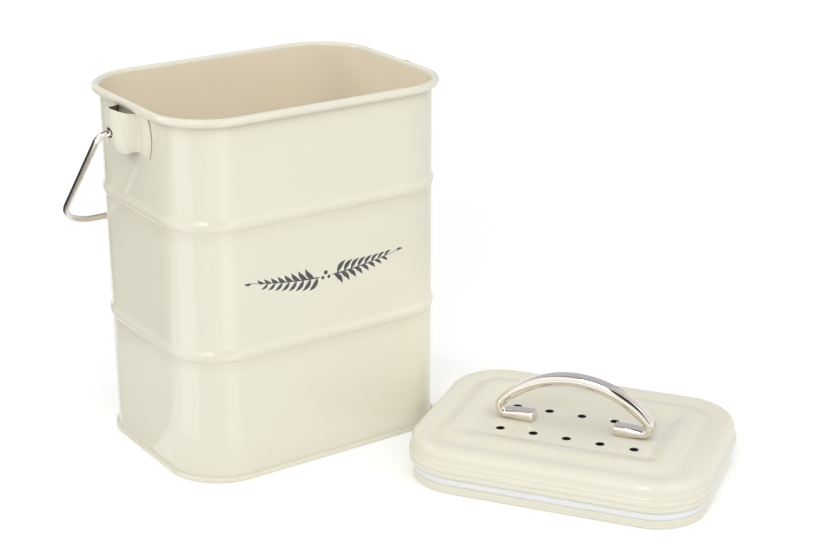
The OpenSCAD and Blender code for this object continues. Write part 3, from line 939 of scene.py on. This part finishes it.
@dataclass
class Bail:
    """The round-wire bail, sprung into the ears and hanging behind the body."""

    wire: float = 3.7
    pivot_z: float = 189.2
    length: float = 93.0
    half_w: float = 101.4
    corner: float = 22.0
    end_bend: float = 7.5
    tip_x: float = 88.2
    hole_x: float = 92.0
    below: float = 47.06

    def build(self) -> bpy.types.Object:
        """Sweeps a circle along tip, end bend, arm, corner bend and grip, then the mirror.

        Returns:
            The dressed piece.
        """
        e, c = self.end_bend, self.corner
        half = run([[self.tip_x, 0.0]], [[self.hole_x, 0.0]], arc(self.half_w - e, e, e, -90, 0, 20),
                   np.stack([np.full(7, self.half_w), np.linspace(e + 4, self.length - c - 4, 7)], 1),
                   arc(self.half_w - c, self.length - c, c, 0, 90, 26),
                   np.stack([np.linspace(self.half_w - c - 4, 0, 10), np.full(10, self.length)], 1))
        mirrored = half[-2::-1] * [-1, 1]
        path = np.concatenate([half, mirrored])
        t = np.linspace(0, 2 * math.pi, 28, endpoint=False)
        section = 0.5 * self.wire * np.stack([np.cos(t), np.sin(t)], axis=1)
        low = math.radians(self.below)
        axes = np.array([[1, 0, 0],
                         [0, math.cos(low), -math.sin(low)],
                         [0, math.sin(low), math.cos(low)]])
        skin = Skin("bail_wire")
        skin.add_grid(sweep(path, section, axes, np.array([0, 0, self.pivot_z]), 0.35), wrap_cols=True)
        return dress(skin.build(), CHROME, Body.BAIL, ["bail_handle"])


# ---------------------------------------------------------------- print


@dataclass
class LeafPrint:
    """A plain mirrored sprig of leaves and berries, printed on the front wall."""

    wall: CaddyWall
    mid_x: float = -1.5
    mid_z: float = 110.0
    half_length: float = 48.0
    pairs: int = 8
    first_leaf: float = 8.6
    leaf_step: float = 0.5
    last_leaf: float = 4.6
    first_turn: float = 50.0
    turn_step: float = 2.5
    slimness: float = 0.155
    berries: tuple[Corner, ...] = ((0.0, -0.2, 1.25), (-1.9, -2.9, 1.0), (1.9, -2.9, 1.0))
    proud: float = 0.06

    def stroke(self, line: Array, half: Array, around: int = 10) -> Array:
        """A flat lens-shaped stroke: along the line, an ellipse half wide and proud high.

        Args:
            line: points (n, 2) in the wall's plane. half: half width at each point.
            around: points round the ellipse.

        Returns:
            Array (n, around, 3), to be joined round the columns.
        """
        d = np.gradient(line, axis=0)
        d /= np.maximum(np.linalg.norm(d, axis=1, keepdims=True), 1e-9)
        left = np.stack([-d[:, 1], d[:, 0]], axis=1)
        t = np.linspace(0, 2 * math.pi, around, endpoint=False)
        flat = line[:, None] + left[:, None] * (half[:, None] * np.cos(t))[..., None]
        x, z = self.mid_x + flat[..., 0], self.mid_z + flat[..., 1]
        lift = self.proud * np.sin(t)[None] * np.minimum(1, half[:, None] / 0.3)
        return np.stack([x, self.wall.front(x, z) - lift, z], axis=-1)

    def leaf(self, root: Array, bearing: float, size: float) -> Array:
        """A leaf: a slightly curved midrib with the width of a sine, fullest before its middle.

        Args:
            root: the leaf's foot. bearing: its direction in radians. size: its length.

        Returns:
            Array (n, around, 3), as from stroke.
        """
        s = np.linspace(0, 1, 15)
        bend = 0.12 * size * np.sin(math.pi * s)
        c, k = math.cos(bearing), math.sin(bearing)
        line = root + np.stack([size * s * c - bend * k, size * s * k + bend * c], axis=1)
        return self.stroke(line, self.slimness * size * np.sin(math.pi * s ** 0.85) + 1e-4)

    def build(self) -> bpy.types.Object:
        """Puts stem, leaves and berries of both halves into one piece.

        The stem's rise is a power of the length and its width falls evenly. Each berry is a
        circle.

        Returns:
            The dressed piece.
        """
        skin = Skin("leaf_print")
        s = np.linspace(0, 1, 40)
        for way in (-1, 1):
            stem = np.stack([way * (3.0 + (self.half_length - 5.0) * s), -2.2 + 5.2 * s ** 1.7], axis=1)
            half = 0.42 * (1 - 0.7 * s) * np.minimum(1, 12 * s + 0.02) + 0.02
            skin.add_grid(self.stroke(stem, half), wrap_cols=True)
            for k in range(self.pairs):
                size = self.first_leaf - self.leaf_step * k
                for up in (-1, 1):
                    at = stem[2 + 4 * k + (up > 0) * 2]
                    turn = up * math.radians(self.first_turn - self.turn_step * k)
                    bearing = turn if way > 0 else math.pi - turn
                    skin.add_grid(self.leaf(at, bearing, size), wrap_cols=True)
            tip = self.leaf(stem[-1], 0.12 if way > 0 else math.pi - 0.12, self.last_leaf)
            skin.add_grid(tip, wrap_cols=True)
        for x, z, r in self.berries:
            t = np.linspace(-1, 1, 13)
            line = np.stack([x + r * t, np.full(13, z)], axis=1)
            half = r * np.sqrt(np.clip(1 - t ** 2, 1e-8, 1))
            skin.add_grid(self.stroke(line, half, 12), wrap_cols=True)
        return dress(skin.build(), INK, Body.CADDY)


# ---------------------------------------------------------------- lid


@dataclass
class LidShell:
    """The pressed lid: rolled hem, bead, shoulder, crease, raised panel and vented recess.

    Attributes:
        hem_x, hem_z, hem_r, bulge_z, wall_top: the rolled hem's middle and radius, the top of
            the bead over it and the top of the plain wall.
        lines_z, line_depth, line_half: the two scored lines' heights, depth and width.
        shoulder, border_z: the shoulder's radius and the height of the border inside it.
        border_in, crease_in, panel_in, seam_in, crease_drop: how far inside the wall the
            border ends, the crease lies, the panel starts and the recess takes over, and how
            deep the crease is.
        recess, slope, side_slope: the recess's half length, half width and corner radius, its
            slope's width, and by what share that is wider along the long sides.
        floor_half, square: half sides of the pierced floor and of each vent's square.
    """

    place: Place
    hx: float = 82.8
    hy: float = 60.5
    corner: float = 30.3
    sheet: float = 0.6
    hem_r: float = 2.05
    hem_x: float = -0.55
    hem_z: float = 11.75
    bulge_z: float = 16.2
    wall_top: float = 21.0
    lines_z: tuple[float, float] = (13.5, 16.9)
    line_depth: float = 0.3
    line_half: float = 0.24
    border_z: float = 25.3
    shoulder: float = 4.2
    border_in: float = 7.6
    crease_in: float = 14.4
    crease_drop: float = 1.15
    panel_in: float = 20.6
    seam_in: float = 22.5
    panel_z: float = 26.2
    recess: tuple[float, float, float] = (56.0, 35.0, 9.0)
    slope: float = 8.0
    side_slope: float = 0.35
    floor_z: float = 22.7
    floor_half: tuple[float, float] = (46.0, 22.0)
    square: float = 4.0
    vent_r: float = 2.5
    vent_pitch: float = 19.0
    vent_row: float = 15.4
    vents: int = 5

    def vent_mids(self) -> Array:
        """Middles of one row's vents, along the lid."""
        return (np.arange(self.vents) - (self.vents - 1) / 2) * self.vent_pitch

    def lines(self) -> tuple[Array, Array]:
        """Grid lines of the recess floor, with eight cells across each vent's square.

        Returns:
            The lines' places along the lid, and those across it.
        """
        half, mids = self.square, self.vent_mids()
        long, wide = self.floor_half
        us = [np.array([-long, 2 - long, long - 2, long])] + [m + np.linspace(-half, half, 9) for m in mids]
        us += [m + self.vent_pitch / 2 + np.array([-2.75, 0, 2.75]) for m in mids[:-1]]
        vs = [np.array([-wide, wide, -7.6, -3.8, 0.0, 3.8, 7.6])]
        vs += [s * self.vent_row + np.linspace(-half, half, 9) for s in (-1, 1)]
        return np.unique(np.round(np.concatenate(us), 6)), np.unique(np.round(np.concatenate(vs), 6))

    def profile(self) -> Array:
        """The outer face from the hem's curled end to the recess floor.

        The hem's arc runs on into a bulge that flares back to the wall under the shoulder. The
        recess's slope is wider by the share side_slope along its long sides.

        Returns:
            Rows (half length, half width, corner radius, height).
        """
        out, bulge = self.hem_x + self.hem_r, self.bulge_z
        hem = arc(self.hem_x, self.hem_z, self.hem_r, 168, 360, 30)
        band = np.stack([np.full(21, out), np.linspace(self.hem_z, bulge - 1.6, 21)], axis=1)
        flare = eased([band[-1], [out, bulge], [0.0, bulge + 2.4], [0.0, self.wall_top]], [0, 1.58, 1.2, 0], 16)
        s, b, panel = self.shoulder, self.border_z, self.panel_z
        crease = eased([[-s - 0.4, b], [-self.border_in, b], [-self.crease_in, b - self.crease_drop],
                        [-self.panel_in, panel], [-self.seam_in - 1, panel]], [0, 2.6, 2.6, 1.6, 0], 6)
        outer = run(run(hem, band, flare), run(arc(-s, b - s, s, 0, 90, 16), crease))
        off = outer[:, 0]
        rows = np.stack([self.hx + off, self.hy + off, self.corner + off, outer[:, 1]], axis=1)
        ra, rb, rr = self.recess
        dip = eased([[3.0, panel], [0.0, panel], [-self.slope, self.floor_z], [-10.5, self.floor_z]],
                    [0, 2.9, 1.5, 0], 9)
        off = dip[:, 0]
        wide = 1 + self.side_slope * np.clip((3 - off) / 6, 0, 1)
        inner = np.stack([ra + off, rb + off * wide, np.maximum(rr + off, 0.0), dip[:, 1]], axis=1)
        inner[-1] = (*self.floor_half, 0.0, self.floor_z)
        return np.concatenate([rows[rows[:, 0] > self.hx - self.seam_in], inner])

    def build(self) -> bpy.types.Object:
        """Lofts the outer face, its inner face a sheet's thickness in, and the pierced floor.

        Enamel is darker, as bells, in the scored lines and in the crease: pooled enamel with
        painted crease shade.

        Returns:
            The dressed piece.
        """
        us, vs = self.lines()
        path = PlanPath.make(20, us[1:-1] / us[-1], vs[1:-1] / vs[-1])
        rows = self.profile()
        moved = inward(rows[:, [0, 3]], -self.sheet) - rows[:, [0, 3]]
        under = rows + np.stack([moved[:, 0]] * 3 + [moved[:, 1]], axis=1)
        under[:, 2] = np.maximum(under[:, 2], 0.0)
        under[-1] = (*self.floor_half, 0.0, self.floor_z - self.sheet)
        line = sum(np.exp(-((rows[:, 3] - z) / self.line_half) ** 2) for z in self.lines_z)
        line = line * (rows[:, 0] > self.hx - 0.1)
        scored = rows - self.line_depth * line[:, None] * [1.0, 1.0, 1.0, 0.0]
        grid = path.rings(*np.concatenate([under[::-1], scored]).T)
        # Painted crease shade with pooled enamel: darker in the scored lines and the crease.
        groove_pool_and_shade = 0.6 * line + 0.25 * np.exp(-((rows[:, 0] - self.hx + self.crease_in) / 1.6) ** 2)
        pool_and_shade = np.concatenate([np.zeros(len(rows)), np.clip(groove_pool_and_shade, 0, 1)])
        skin = Skin("lid_pressing", self.place)
        skin.add_grid(grid, wrap_cols=True, pool_and_shade=pool_and_shade)
        holes = [Hole(m, s * self.vent_row, self.vent_r, self.square) for m in self.vent_mids() for s in (-1, 1)]
        flat, depth, faces = pierced(us, vs, holes)
        skin.add(np.column_stack([flat, self.floor_z - self.sheet * depth]), faces)
        return dress(skin.build(), LID_CREAM, Body.LID, ["lid_shell"])


@dataclass
class LidRing:
    """The sheet ring inside the lid and the seal that it carries."""

    shell: LidShell

    def _carry(self, name: str, section: Array) -> bpy.types.Object:
        """Carries a closed section round the lid's wall line.

        Args:
            name: the piece's name. section: closed points (offset, height).

        Returns:
            The piece, not yet dressed.
        """
        lid = self.shell
        path = PlanPath.make(20, np.linspace(-1, 1, 12)[1:-1], np.linspace(-1, 1, 9)[1:-1])
        skin = Skin(name, lid.place)
        rings = path.offset_rings(lid.hx, lid.hy, lid.corner, section)
        skin.add_grid(rings, wrap_rows=True, wrap_cols=True)
        return skin.build()

    def build(self) -> list[bpy.types.Object]:
        """Makes the ring, with its pressed corners turned softly, and the bulging seal.

        Returns:
            The two dressed pieces.
        """
        corners = [[-0.6, 19.2], [-3.6, 19.2], [-3.6, 4.6], [-1.1, 4.6], [-1.1, 0.6], [-4.9, 0.6], [-4.9, 2.6],
                   [-5.5, 2.6], [-5.5, 0.0], [-0.5, 0.0], [-0.5, 5.2], [-3.0, 5.2], [-3.0, 18.6], [-0.6, 18.6]]
        cuts = [0.15, 0.7, 0.3, 0.3, 0.6, 0.3, 0.2, 0.2, 0.8, 1.3, 0.7, 0.2, 0.2, 0.15]
        ring = self._carry("lid_inner_ring", eased(corners, cuts, 5, closed=True))
        dress(ring, LID_CREAM, Body.LID, ["lid_ring"])
        bulge = [[-3.0, 9.65], [-3.0, 5.2], [-0.75, 5.2], [0.05, 6.3], [0.05, 8.6], [-0.75, 9.65]]
        seal = self._carry("lid_seal_skin", eased(bulge, [0.2, 0.2, 0.5, 1.0, 1.0, 0.5], 6, closed=True))
        dress(seal, SEAL, Body.LID, ["lid_seal"])
        return [ring, seal]


@dataclass
class LidHandle:
    """The arched chrome bar with flat faces, bent under to two feet on the recess floor.

    Attributes:
        arch, arch_z: the arch's outer radius and its middle's height.
        thick, round_r, edge: the bar's thickness, its round sides' radius and its edges' one.
        bend, fade: inner radius of the end bends, and the length over which the flats fade.
        foot, floor_z: where the feet end, and the floor that they stand on.
        steps: steps of the path along the arch's half and along a bend.
    """

    place: Place
    arch: float = 60.0
    thick: float = 6.0
    round_r: float = 4.2
    bend: float = 1.2
    foot: float = 23.0
    arch_z: float = -6.0
    floor_z: float = 22.7
    edge: float = 0.6
    fade: float = 9.0
    steps: int = 26

    def section(self) -> Array:
        """The bar's section: two flats and two round sides, their meeting edges softened.

        Returns:
            Closed points (n, 2), the thickness along the first.
        """
        h, e = self.thick / 2, self.edge
        b = math.sqrt((self.round_r - e) ** 2 - (h - e) ** 2)
        lean = math.degrees(math.atan2(b, h - e))
        quarter = run(arc(h - e, b, e, 0, lean, 4), arc(0, 0, self.round_r, lean, 90, 9))
        half = run(quarter, quarter[::-1] * [-1, 1])
        return run(half, half[::-1] * [1, -1])[:-1]

    def build(self) -> bpy.types.Object:
        """Sweeps the section along foot, end bend, arch, end bend and foot.

        Towards a bend the section is mixed with the ellipse that lies in it, by the smooth step
        of the distance along the path.

        Returns:
            The dressed piece.
        """
        m = self.bend + self.thick / 2
        cz = self.floor_z + self.bend + self.thick
        reach = self.arch - self.bend - self.thick
        cu = math.sqrt(reach ** 2 - (cz - self.arch_z) ** 2)
        lean = math.degrees(math.atan2(cz - self.arch_z, cu))
        n = self.steps
        half = run(arc(0, self.arch_z, self.arch - self.thick / 2, 90, lean, n), arc(cu, cz, m, lean, -90, n),
                   np.stack([np.linspace(cu, self.foot, 7), np.full(7, cz - m)], axis=1))
        path = np.concatenate([half[:0:-1] * [-1, 1], half])
        along = np.concatenate([[0], np.cumsum(np.linalg.norm(np.diff(half, axis=0), axis=1))])
        near = 1 - np.clip(np.maximum(along[n] - along, along - along[2 * n]) / self.fade, 0, 1)
        near = 0.85 * near ** 2 * (3 - 2 * near)
        flat = self.section()
        t = np.arctan2(flat[:, 1] / self.round_r, flat[:, 0] / (self.thick / 2))
        oval = np.stack([self.thick / 2 * np.cos(t), self.round_r * np.sin(t)], axis=1)
        sections = flat + np.concatenate([near[:0:-1], near])[:, None, None] * (oval - flat)
        c, s = math.cos(math.radians(self.place.yaw)), math.sin(math.radians(self.place.yaw))
        axes = np.array([[c, s, 0], [0, 0, 1], [s, -c, 0]])
        skin = Skin("lid_handle_bar")
        origin = np.array([self.place.x, self.place.y, 0.0])
        skin.add_grid(sweep(path, sections, axes, origin, 0.5), wrap_cols=True)
        return dress(skin.build(), CHROME, Body.LID, ["lid_handle"])


def dress_kept_nodes() -> None:
    """Gives the CAD nodes that stay shown their finishes."""
    for node, finish in (("filter_holder", STEEL), ("carbon_filter", FELT),
                         ("handle_screws", STEEL), ("screw_washers", STEEL)):
        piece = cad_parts[node]
        piece.data.materials.clear()
        piece.data.materials.append(finish.material())
        LOG.info("%s: CAD node, finished in %s", node, finish.name)


# ---------------------------------------------------------------- studio


@dataclass(frozen=True)
class Lamp:
    """A rectangular soft lamp that faces a point; spread is its beam's full angle in degrees."""

    name: str
    spot: tuple[float, float, float]
    size: tuple[float, float]
    glow: float
    aim: tuple[float, float, float] = (0.03, -0.06, 0.08)
    tint: Colour = (1.0, 1.0, 1.0)
    mirrored: bool = True
    spread: float = 180.0

    def build(self) -> None:
        """Makes the area lamp; its power is glow times pi times its area."""
        data = bpy.data.lights.new(self.name, "AREA")
        data.shape = "RECTANGLE"
        data.size, data.size_y = self.size
        data.energy = self.glow * math.pi * self.size[0] * self.size[1]
        data.color, data.spread = self.tint, math.radians(self.spread)
        lamp = bpy.data.objects.new(self.name, data)
        lamp.location = self.spot
        lamp.rotation_euler = (Vector(self.aim) - Vector(self.spot)).to_track_quat("-Z", "Y").to_euler()
        lamp.visible_camera, lamp.visible_glossy = False, self.mirrored
        bpy.context.scene.collection.objects.link(lamp)


@dataclass(frozen=True)
class Card:
    """A flat card that only glossy reflections see."""

    name: str
    corners: tuple[Corner, ...]
    glow: float
    tint: Colour = (1.0, 1.0, 1.0)

    def build(self) -> None:
        """Makes the card as one emitting polygon, part of the stage."""
        mesh = bpy.data.meshes.new(self.name)
        mesh.from_pydata(self.corners, [], [list(range(len(self.corners)))])
        card = bpy.data.objects.new(self.name, mesh)
        material = bpy.data.materials.new(self.name)
        material.use_nodes = True
        material.node_tree.nodes.clear()
        board = Board(material.node_tree)
        glow = board.node("ShaderNodeEmission", {"Color": rgba(self.tint), "Strength": self.glow})
        board.node("ShaderNodeOutputMaterial", {"Surface": glow.outputs[0]})
        mesh.materials.append(material)
        for way in ("camera", "diffuse", "transmission", "volume_scatter", "shadow"):
            setattr(card, "visible_" + way, False)
        bpy.context.scene.collection.objects.link(card)


def beam(x: float, y: float, bearing: float, near: float, far: float, near_half: float,
         far_half: float, z: float = 0.0006) -> tuple[Corner, ...]:
    """Corners of a strip just above the floor.

    Args:
        x, y: the point that the strip leaves. bearing: its direction in degrees.
        near, far: the distances between which it lies. near_half, far_half: its half widths
            there. z: its height.

    Returns:
        The corners, in metres.
    """
    c, s = math.cos(math.radians(bearing)), math.sin(math.radians(bearing))
    spots = [(near, -near_half), (far, -far_half), (far, far_half), (near, near_half)]
    return tuple((x + c * d - s * w, y + s * d + c * w, z) for d, w in spots)


def floor_patch(*spots: tuple[float, float], z: float = 0.0009) -> tuple[Corner, ...]:
    """Corners of a patch just above the floor."""
    return tuple((u, v, z) for u, v in spots)


def upright(bearing: float, far: float, half: float, low: float, high: float) -> tuple[Corner, ...]:
    """Corners of an upright card that stands away from the origin and faces it.

    Args:
        bearing: its direction from the origin in degrees. far: its distance.
        half: its half width. low, high: heights of its lower and upper edge.

    Returns:
        The corners, in metres.
    """
    c, s = math.cos(math.radians(bearing)), math.sin(math.radians(bearing))
    return tuple((c * far - s * w, s * far + c * w, z)
                 for w, z in ((-half, low), (half, low), (half, high), (-half, high)))


@dataclass
class Studio:
    """Floor, world, lamps, cards and camera.

    Attributes:
        floor_glow, floor_far_glow: the floor's camera glow near the object and far from it.
        floor_lift: its glow for every other ray.
        room_glow, room_top: the world's light, and how bright reflections see it overhead.
        near_corner: the point by the body's lower front corner that the two strips leave.
        lens, camera_spot, camera_right, camera_back, camera_roll: the camera's focal length in
            millimetres, its place, its two axes and its roll in degrees.
    """

    floor_glow: float = 0.27
    floor_far_glow: float = 0.60
    floor_lift: float = 0.12
    room_glow: float = 0.55
    room_top: float = 0.25
    near_corner: tuple[float, float] = (-0.0525, -0.0302)
    lens: float = 77.47
    camera_spot: Corner = (-0.4800, -0.8399, 0.4489)
    camera_right: Corner = (0.8225, -0.5688, 0.0)
    camera_back: Corner = (-0.5326, -0.7702, 0.3510)
    camera_roll: float = 0.07

    def build(self) -> None:
        """Makes the whole stage."""
        self._floor()
        self._world()
        lamps = (
            Lamp("overhead_soft", (0.0, -0.1, 1.6), (1.2, 1.2), 0.9, mirrored=False),
            Lamp("front_top_soft", (0.15, -1.3, 1.3), (1.4, 1.0), 1.35),
            Lamp("front_fill", (1.1, -1.6, 0.9), (2.0, 1.5), 0.3),
            Lamp("left_soft", (-1.0, 0.75, 0.9), (0.42, 0.8), 4.1),
            Lamp("front_left_soft", (-0.9, -0.85, 0.95), (0.5, 0.8), 3.7),
            Lamp("low_corner_fill", (0.13, -0.13, 0.08), (0.08, 0.04), 0.45, (0.066, -0.06, 0.045),
                 (1.0, 0.93, 0.82), False, 80.0),
        )
        for lamp in lamps:
            lamp.build()
        x, y = self.near_corner
        dim = floor_patch((-0.085, 0.0), (-0.12, 0.03), (-0.21, 0.06), (-0.26, 0.13), (-0.20, 0.22),
                          (-0.10, 0.16), (-0.086, 0.06))
        dark = floor_patch((-0.20, 0.115), (-0.75, 0.22), (-1.1, 0.7), (-0.9, 1.3), (-0.14, 1.3),
                           (-0.10, 0.35), (-0.13, 0.16), z=0.0012)
        cards = (
            Card("left_strip", beam(x, y, 185, 0.08, 1.4, 0.03, 0.42), 1.9),
            Card("front_strip", beam(x, y, 265, 0.08, 1.4, 0.02, 0.28), 1.7),
            Card("dim_zone", dim, 0.45),
            Card("dark_zone", dark, 0.05),
            Card("back_grey", upright(55.0, 1.44, 0.93, 0.05, 1.6), 1.0, (0.59, 0.605, 0.68)),
            Card("left_back_dark", upright(122.0, 1.2, 0.5, 0.0, 1.6), 0.06),
            Card("left_white", upright(198.0, 1.35, 0.84, 0.22, 1.5), 1.25),
            Card("camera_dark", upright(247.0, 1.2, 0.37, 0.30, 1.5), 0.05),
        )
        for card in cards:
            card.build()
        self._camera()
        bpy.context.scene.view_settings.view_transform = "Standard"

    def _floor(self) -> None:
        """A pale floor: white to the camera and to reflections, and still darkened by shadows.

        To the camera its paint gets a glow that rises with the distance from the object, as
        the lamps' light falls, so that the open floor is white all over.
        """
        mesh = bpy.data.meshes.new("studio_floor")
        e = 12.0
        mesh.from_pydata([(-e, -e, 0), (e, -e, 0), (e, e, 0), (-e, e, 0)], [], [(0, 1, 2, 3)])
        floor = bpy.data.objects.new("studio_floor", mesh)
        material = bpy.data.materials.new("studio_floor")
        material.use_nodes = True
        material.node_tree.nodes.clear()
        board = Board(material.node_tree)
        rays = board.node("ShaderNodeLightPath").outputs
        where = board.node("ShaderNodeTexCoord").outputs["Object"]
        grain = board.noise(900.0, 4.0, where)
        away = board.node("ShaderNodeVectorMath", {0: where}, operation="LENGTH").outputs["Value"]
        seen_glow = board.span(away, 0.4, 2.0, self.floor_glow, self.floor_far_glow)
        shade = board.mix(grain, (0.80, 0.80, 0.80, 1), (0.83, 0.83, 0.83, 1))
        paint = board.node("ShaderNodeBsdfDiffuse", {"Color": shade})
        lift = board.span(rays["Is Camera Ray"], 0.0, 1.0, self.floor_lift, seen_glow)
        glow = board.node("ShaderNodeEmission", {"Color": (1, 1, 1, 1), "Strength": lift})
        seen = board.node("ShaderNodeAddShader", {0: paint.outputs[0], 1: glow.outputs[0]})
        white = board.node("ShaderNodeEmission", {"Color": (1, 1, 1, 1), "Strength": 1.0})
        mirror = board.sum(rays["Is Glossy Ray"], rays["Is Transmission Ray"], "MAXIMUM")
        surface = board.node("ShaderNodeMixShader", {0: mirror, 1: seen.outputs[0], 2: white.outputs[0]})
        board.node("ShaderNodeOutputMaterial", {"Surface": surface.outputs[0]})
        mesh.materials.append(material)
        bpy.context.scene.collection.objects.link(floor)

    def _world(self) -> None:
        """A room that is white to the camera.

        In reflections it falls from white to grey overhead, and as light it is a softer white.
        """
        world = bpy.data.worlds.new("studio_world")
        bpy.context.scene.world = world
        world.use_nodes = True
        world.node_tree.nodes.clear()
        board = Board(world.node_tree)
        rays = board.node("ShaderNodeLightPath").outputs
        up = board.node("ShaderNodeSeparateXYZ", {0: board.node("ShaderNodeTexCoord").outputs["Object"]})
        sky = board.span(up.outputs["Z"], 0.15, 0.95, 1.0, self.room_top)
        mirror = board.sum(rays["Is Glossy Ray"], rays["Is Transmission Ray"], "MAXIMUM")
        other = board.span(mirror, 0.0, 1.0, self.room_glow, sky)
        strength = board.span(rays["Is Camera Ray"], 0.0, 1.0, other, 1.0)
        glow = board.node("ShaderNodeBackground", {"Color": (1, 1, 1, 1), "Strength": strength})
        board.node("ShaderNodeOutputWorld", {"Surface": glow.outputs[0]})

    def _camera(self) -> None:
        """The camera at the photograph's place and angle."""
        data = bpy.data.cameras.new("camera")
        data.lens, data.sensor_width, data.sensor_fit = self.lens, 36.0, "HORIZONTAL"
        camera = bpy.data.objects.new("camera", data)
        right = Vector(self.camera_right).normalized()
        back = Vector(self.camera_back).normalized()
        up = back.cross(right)
        roll = Matrix.Rotation(math.radians(self.camera_roll), 3, "Z")
        turn = Matrix((right, up, back)).transposed() @ roll
        camera.matrix_world = Matrix.Translation(self.camera_spot) @ turn.to_4x4()
        data.clip_start, data.clip_end = 0.05, 50.0
        bpy.context.scene.collection.objects.link(camera)
        bpy.context.scene.camera = camera


def main() -> None:
    """Builds every sub-assembly in order."""
    logging.basicConfig(level=logging.INFO, format="%(name)s: %(message)s")
    wall = CaddyWall()
    lid_place = Place(104.7, -148.3, -55.6)
    shell = LidShell(lid_place)
    wall.build()
    CaddyBase(wall).build()
    for side in (-1, 1):
        Ear(side).build()
    Bail().build()
    LeafPrint(wall).build()
    shell.build()
    LidRing(shell).build()
    LidHandle(lid_place).build()
    dress_kept_nodes()
    Studio().build()


if __name__ == "__main__":
    main()
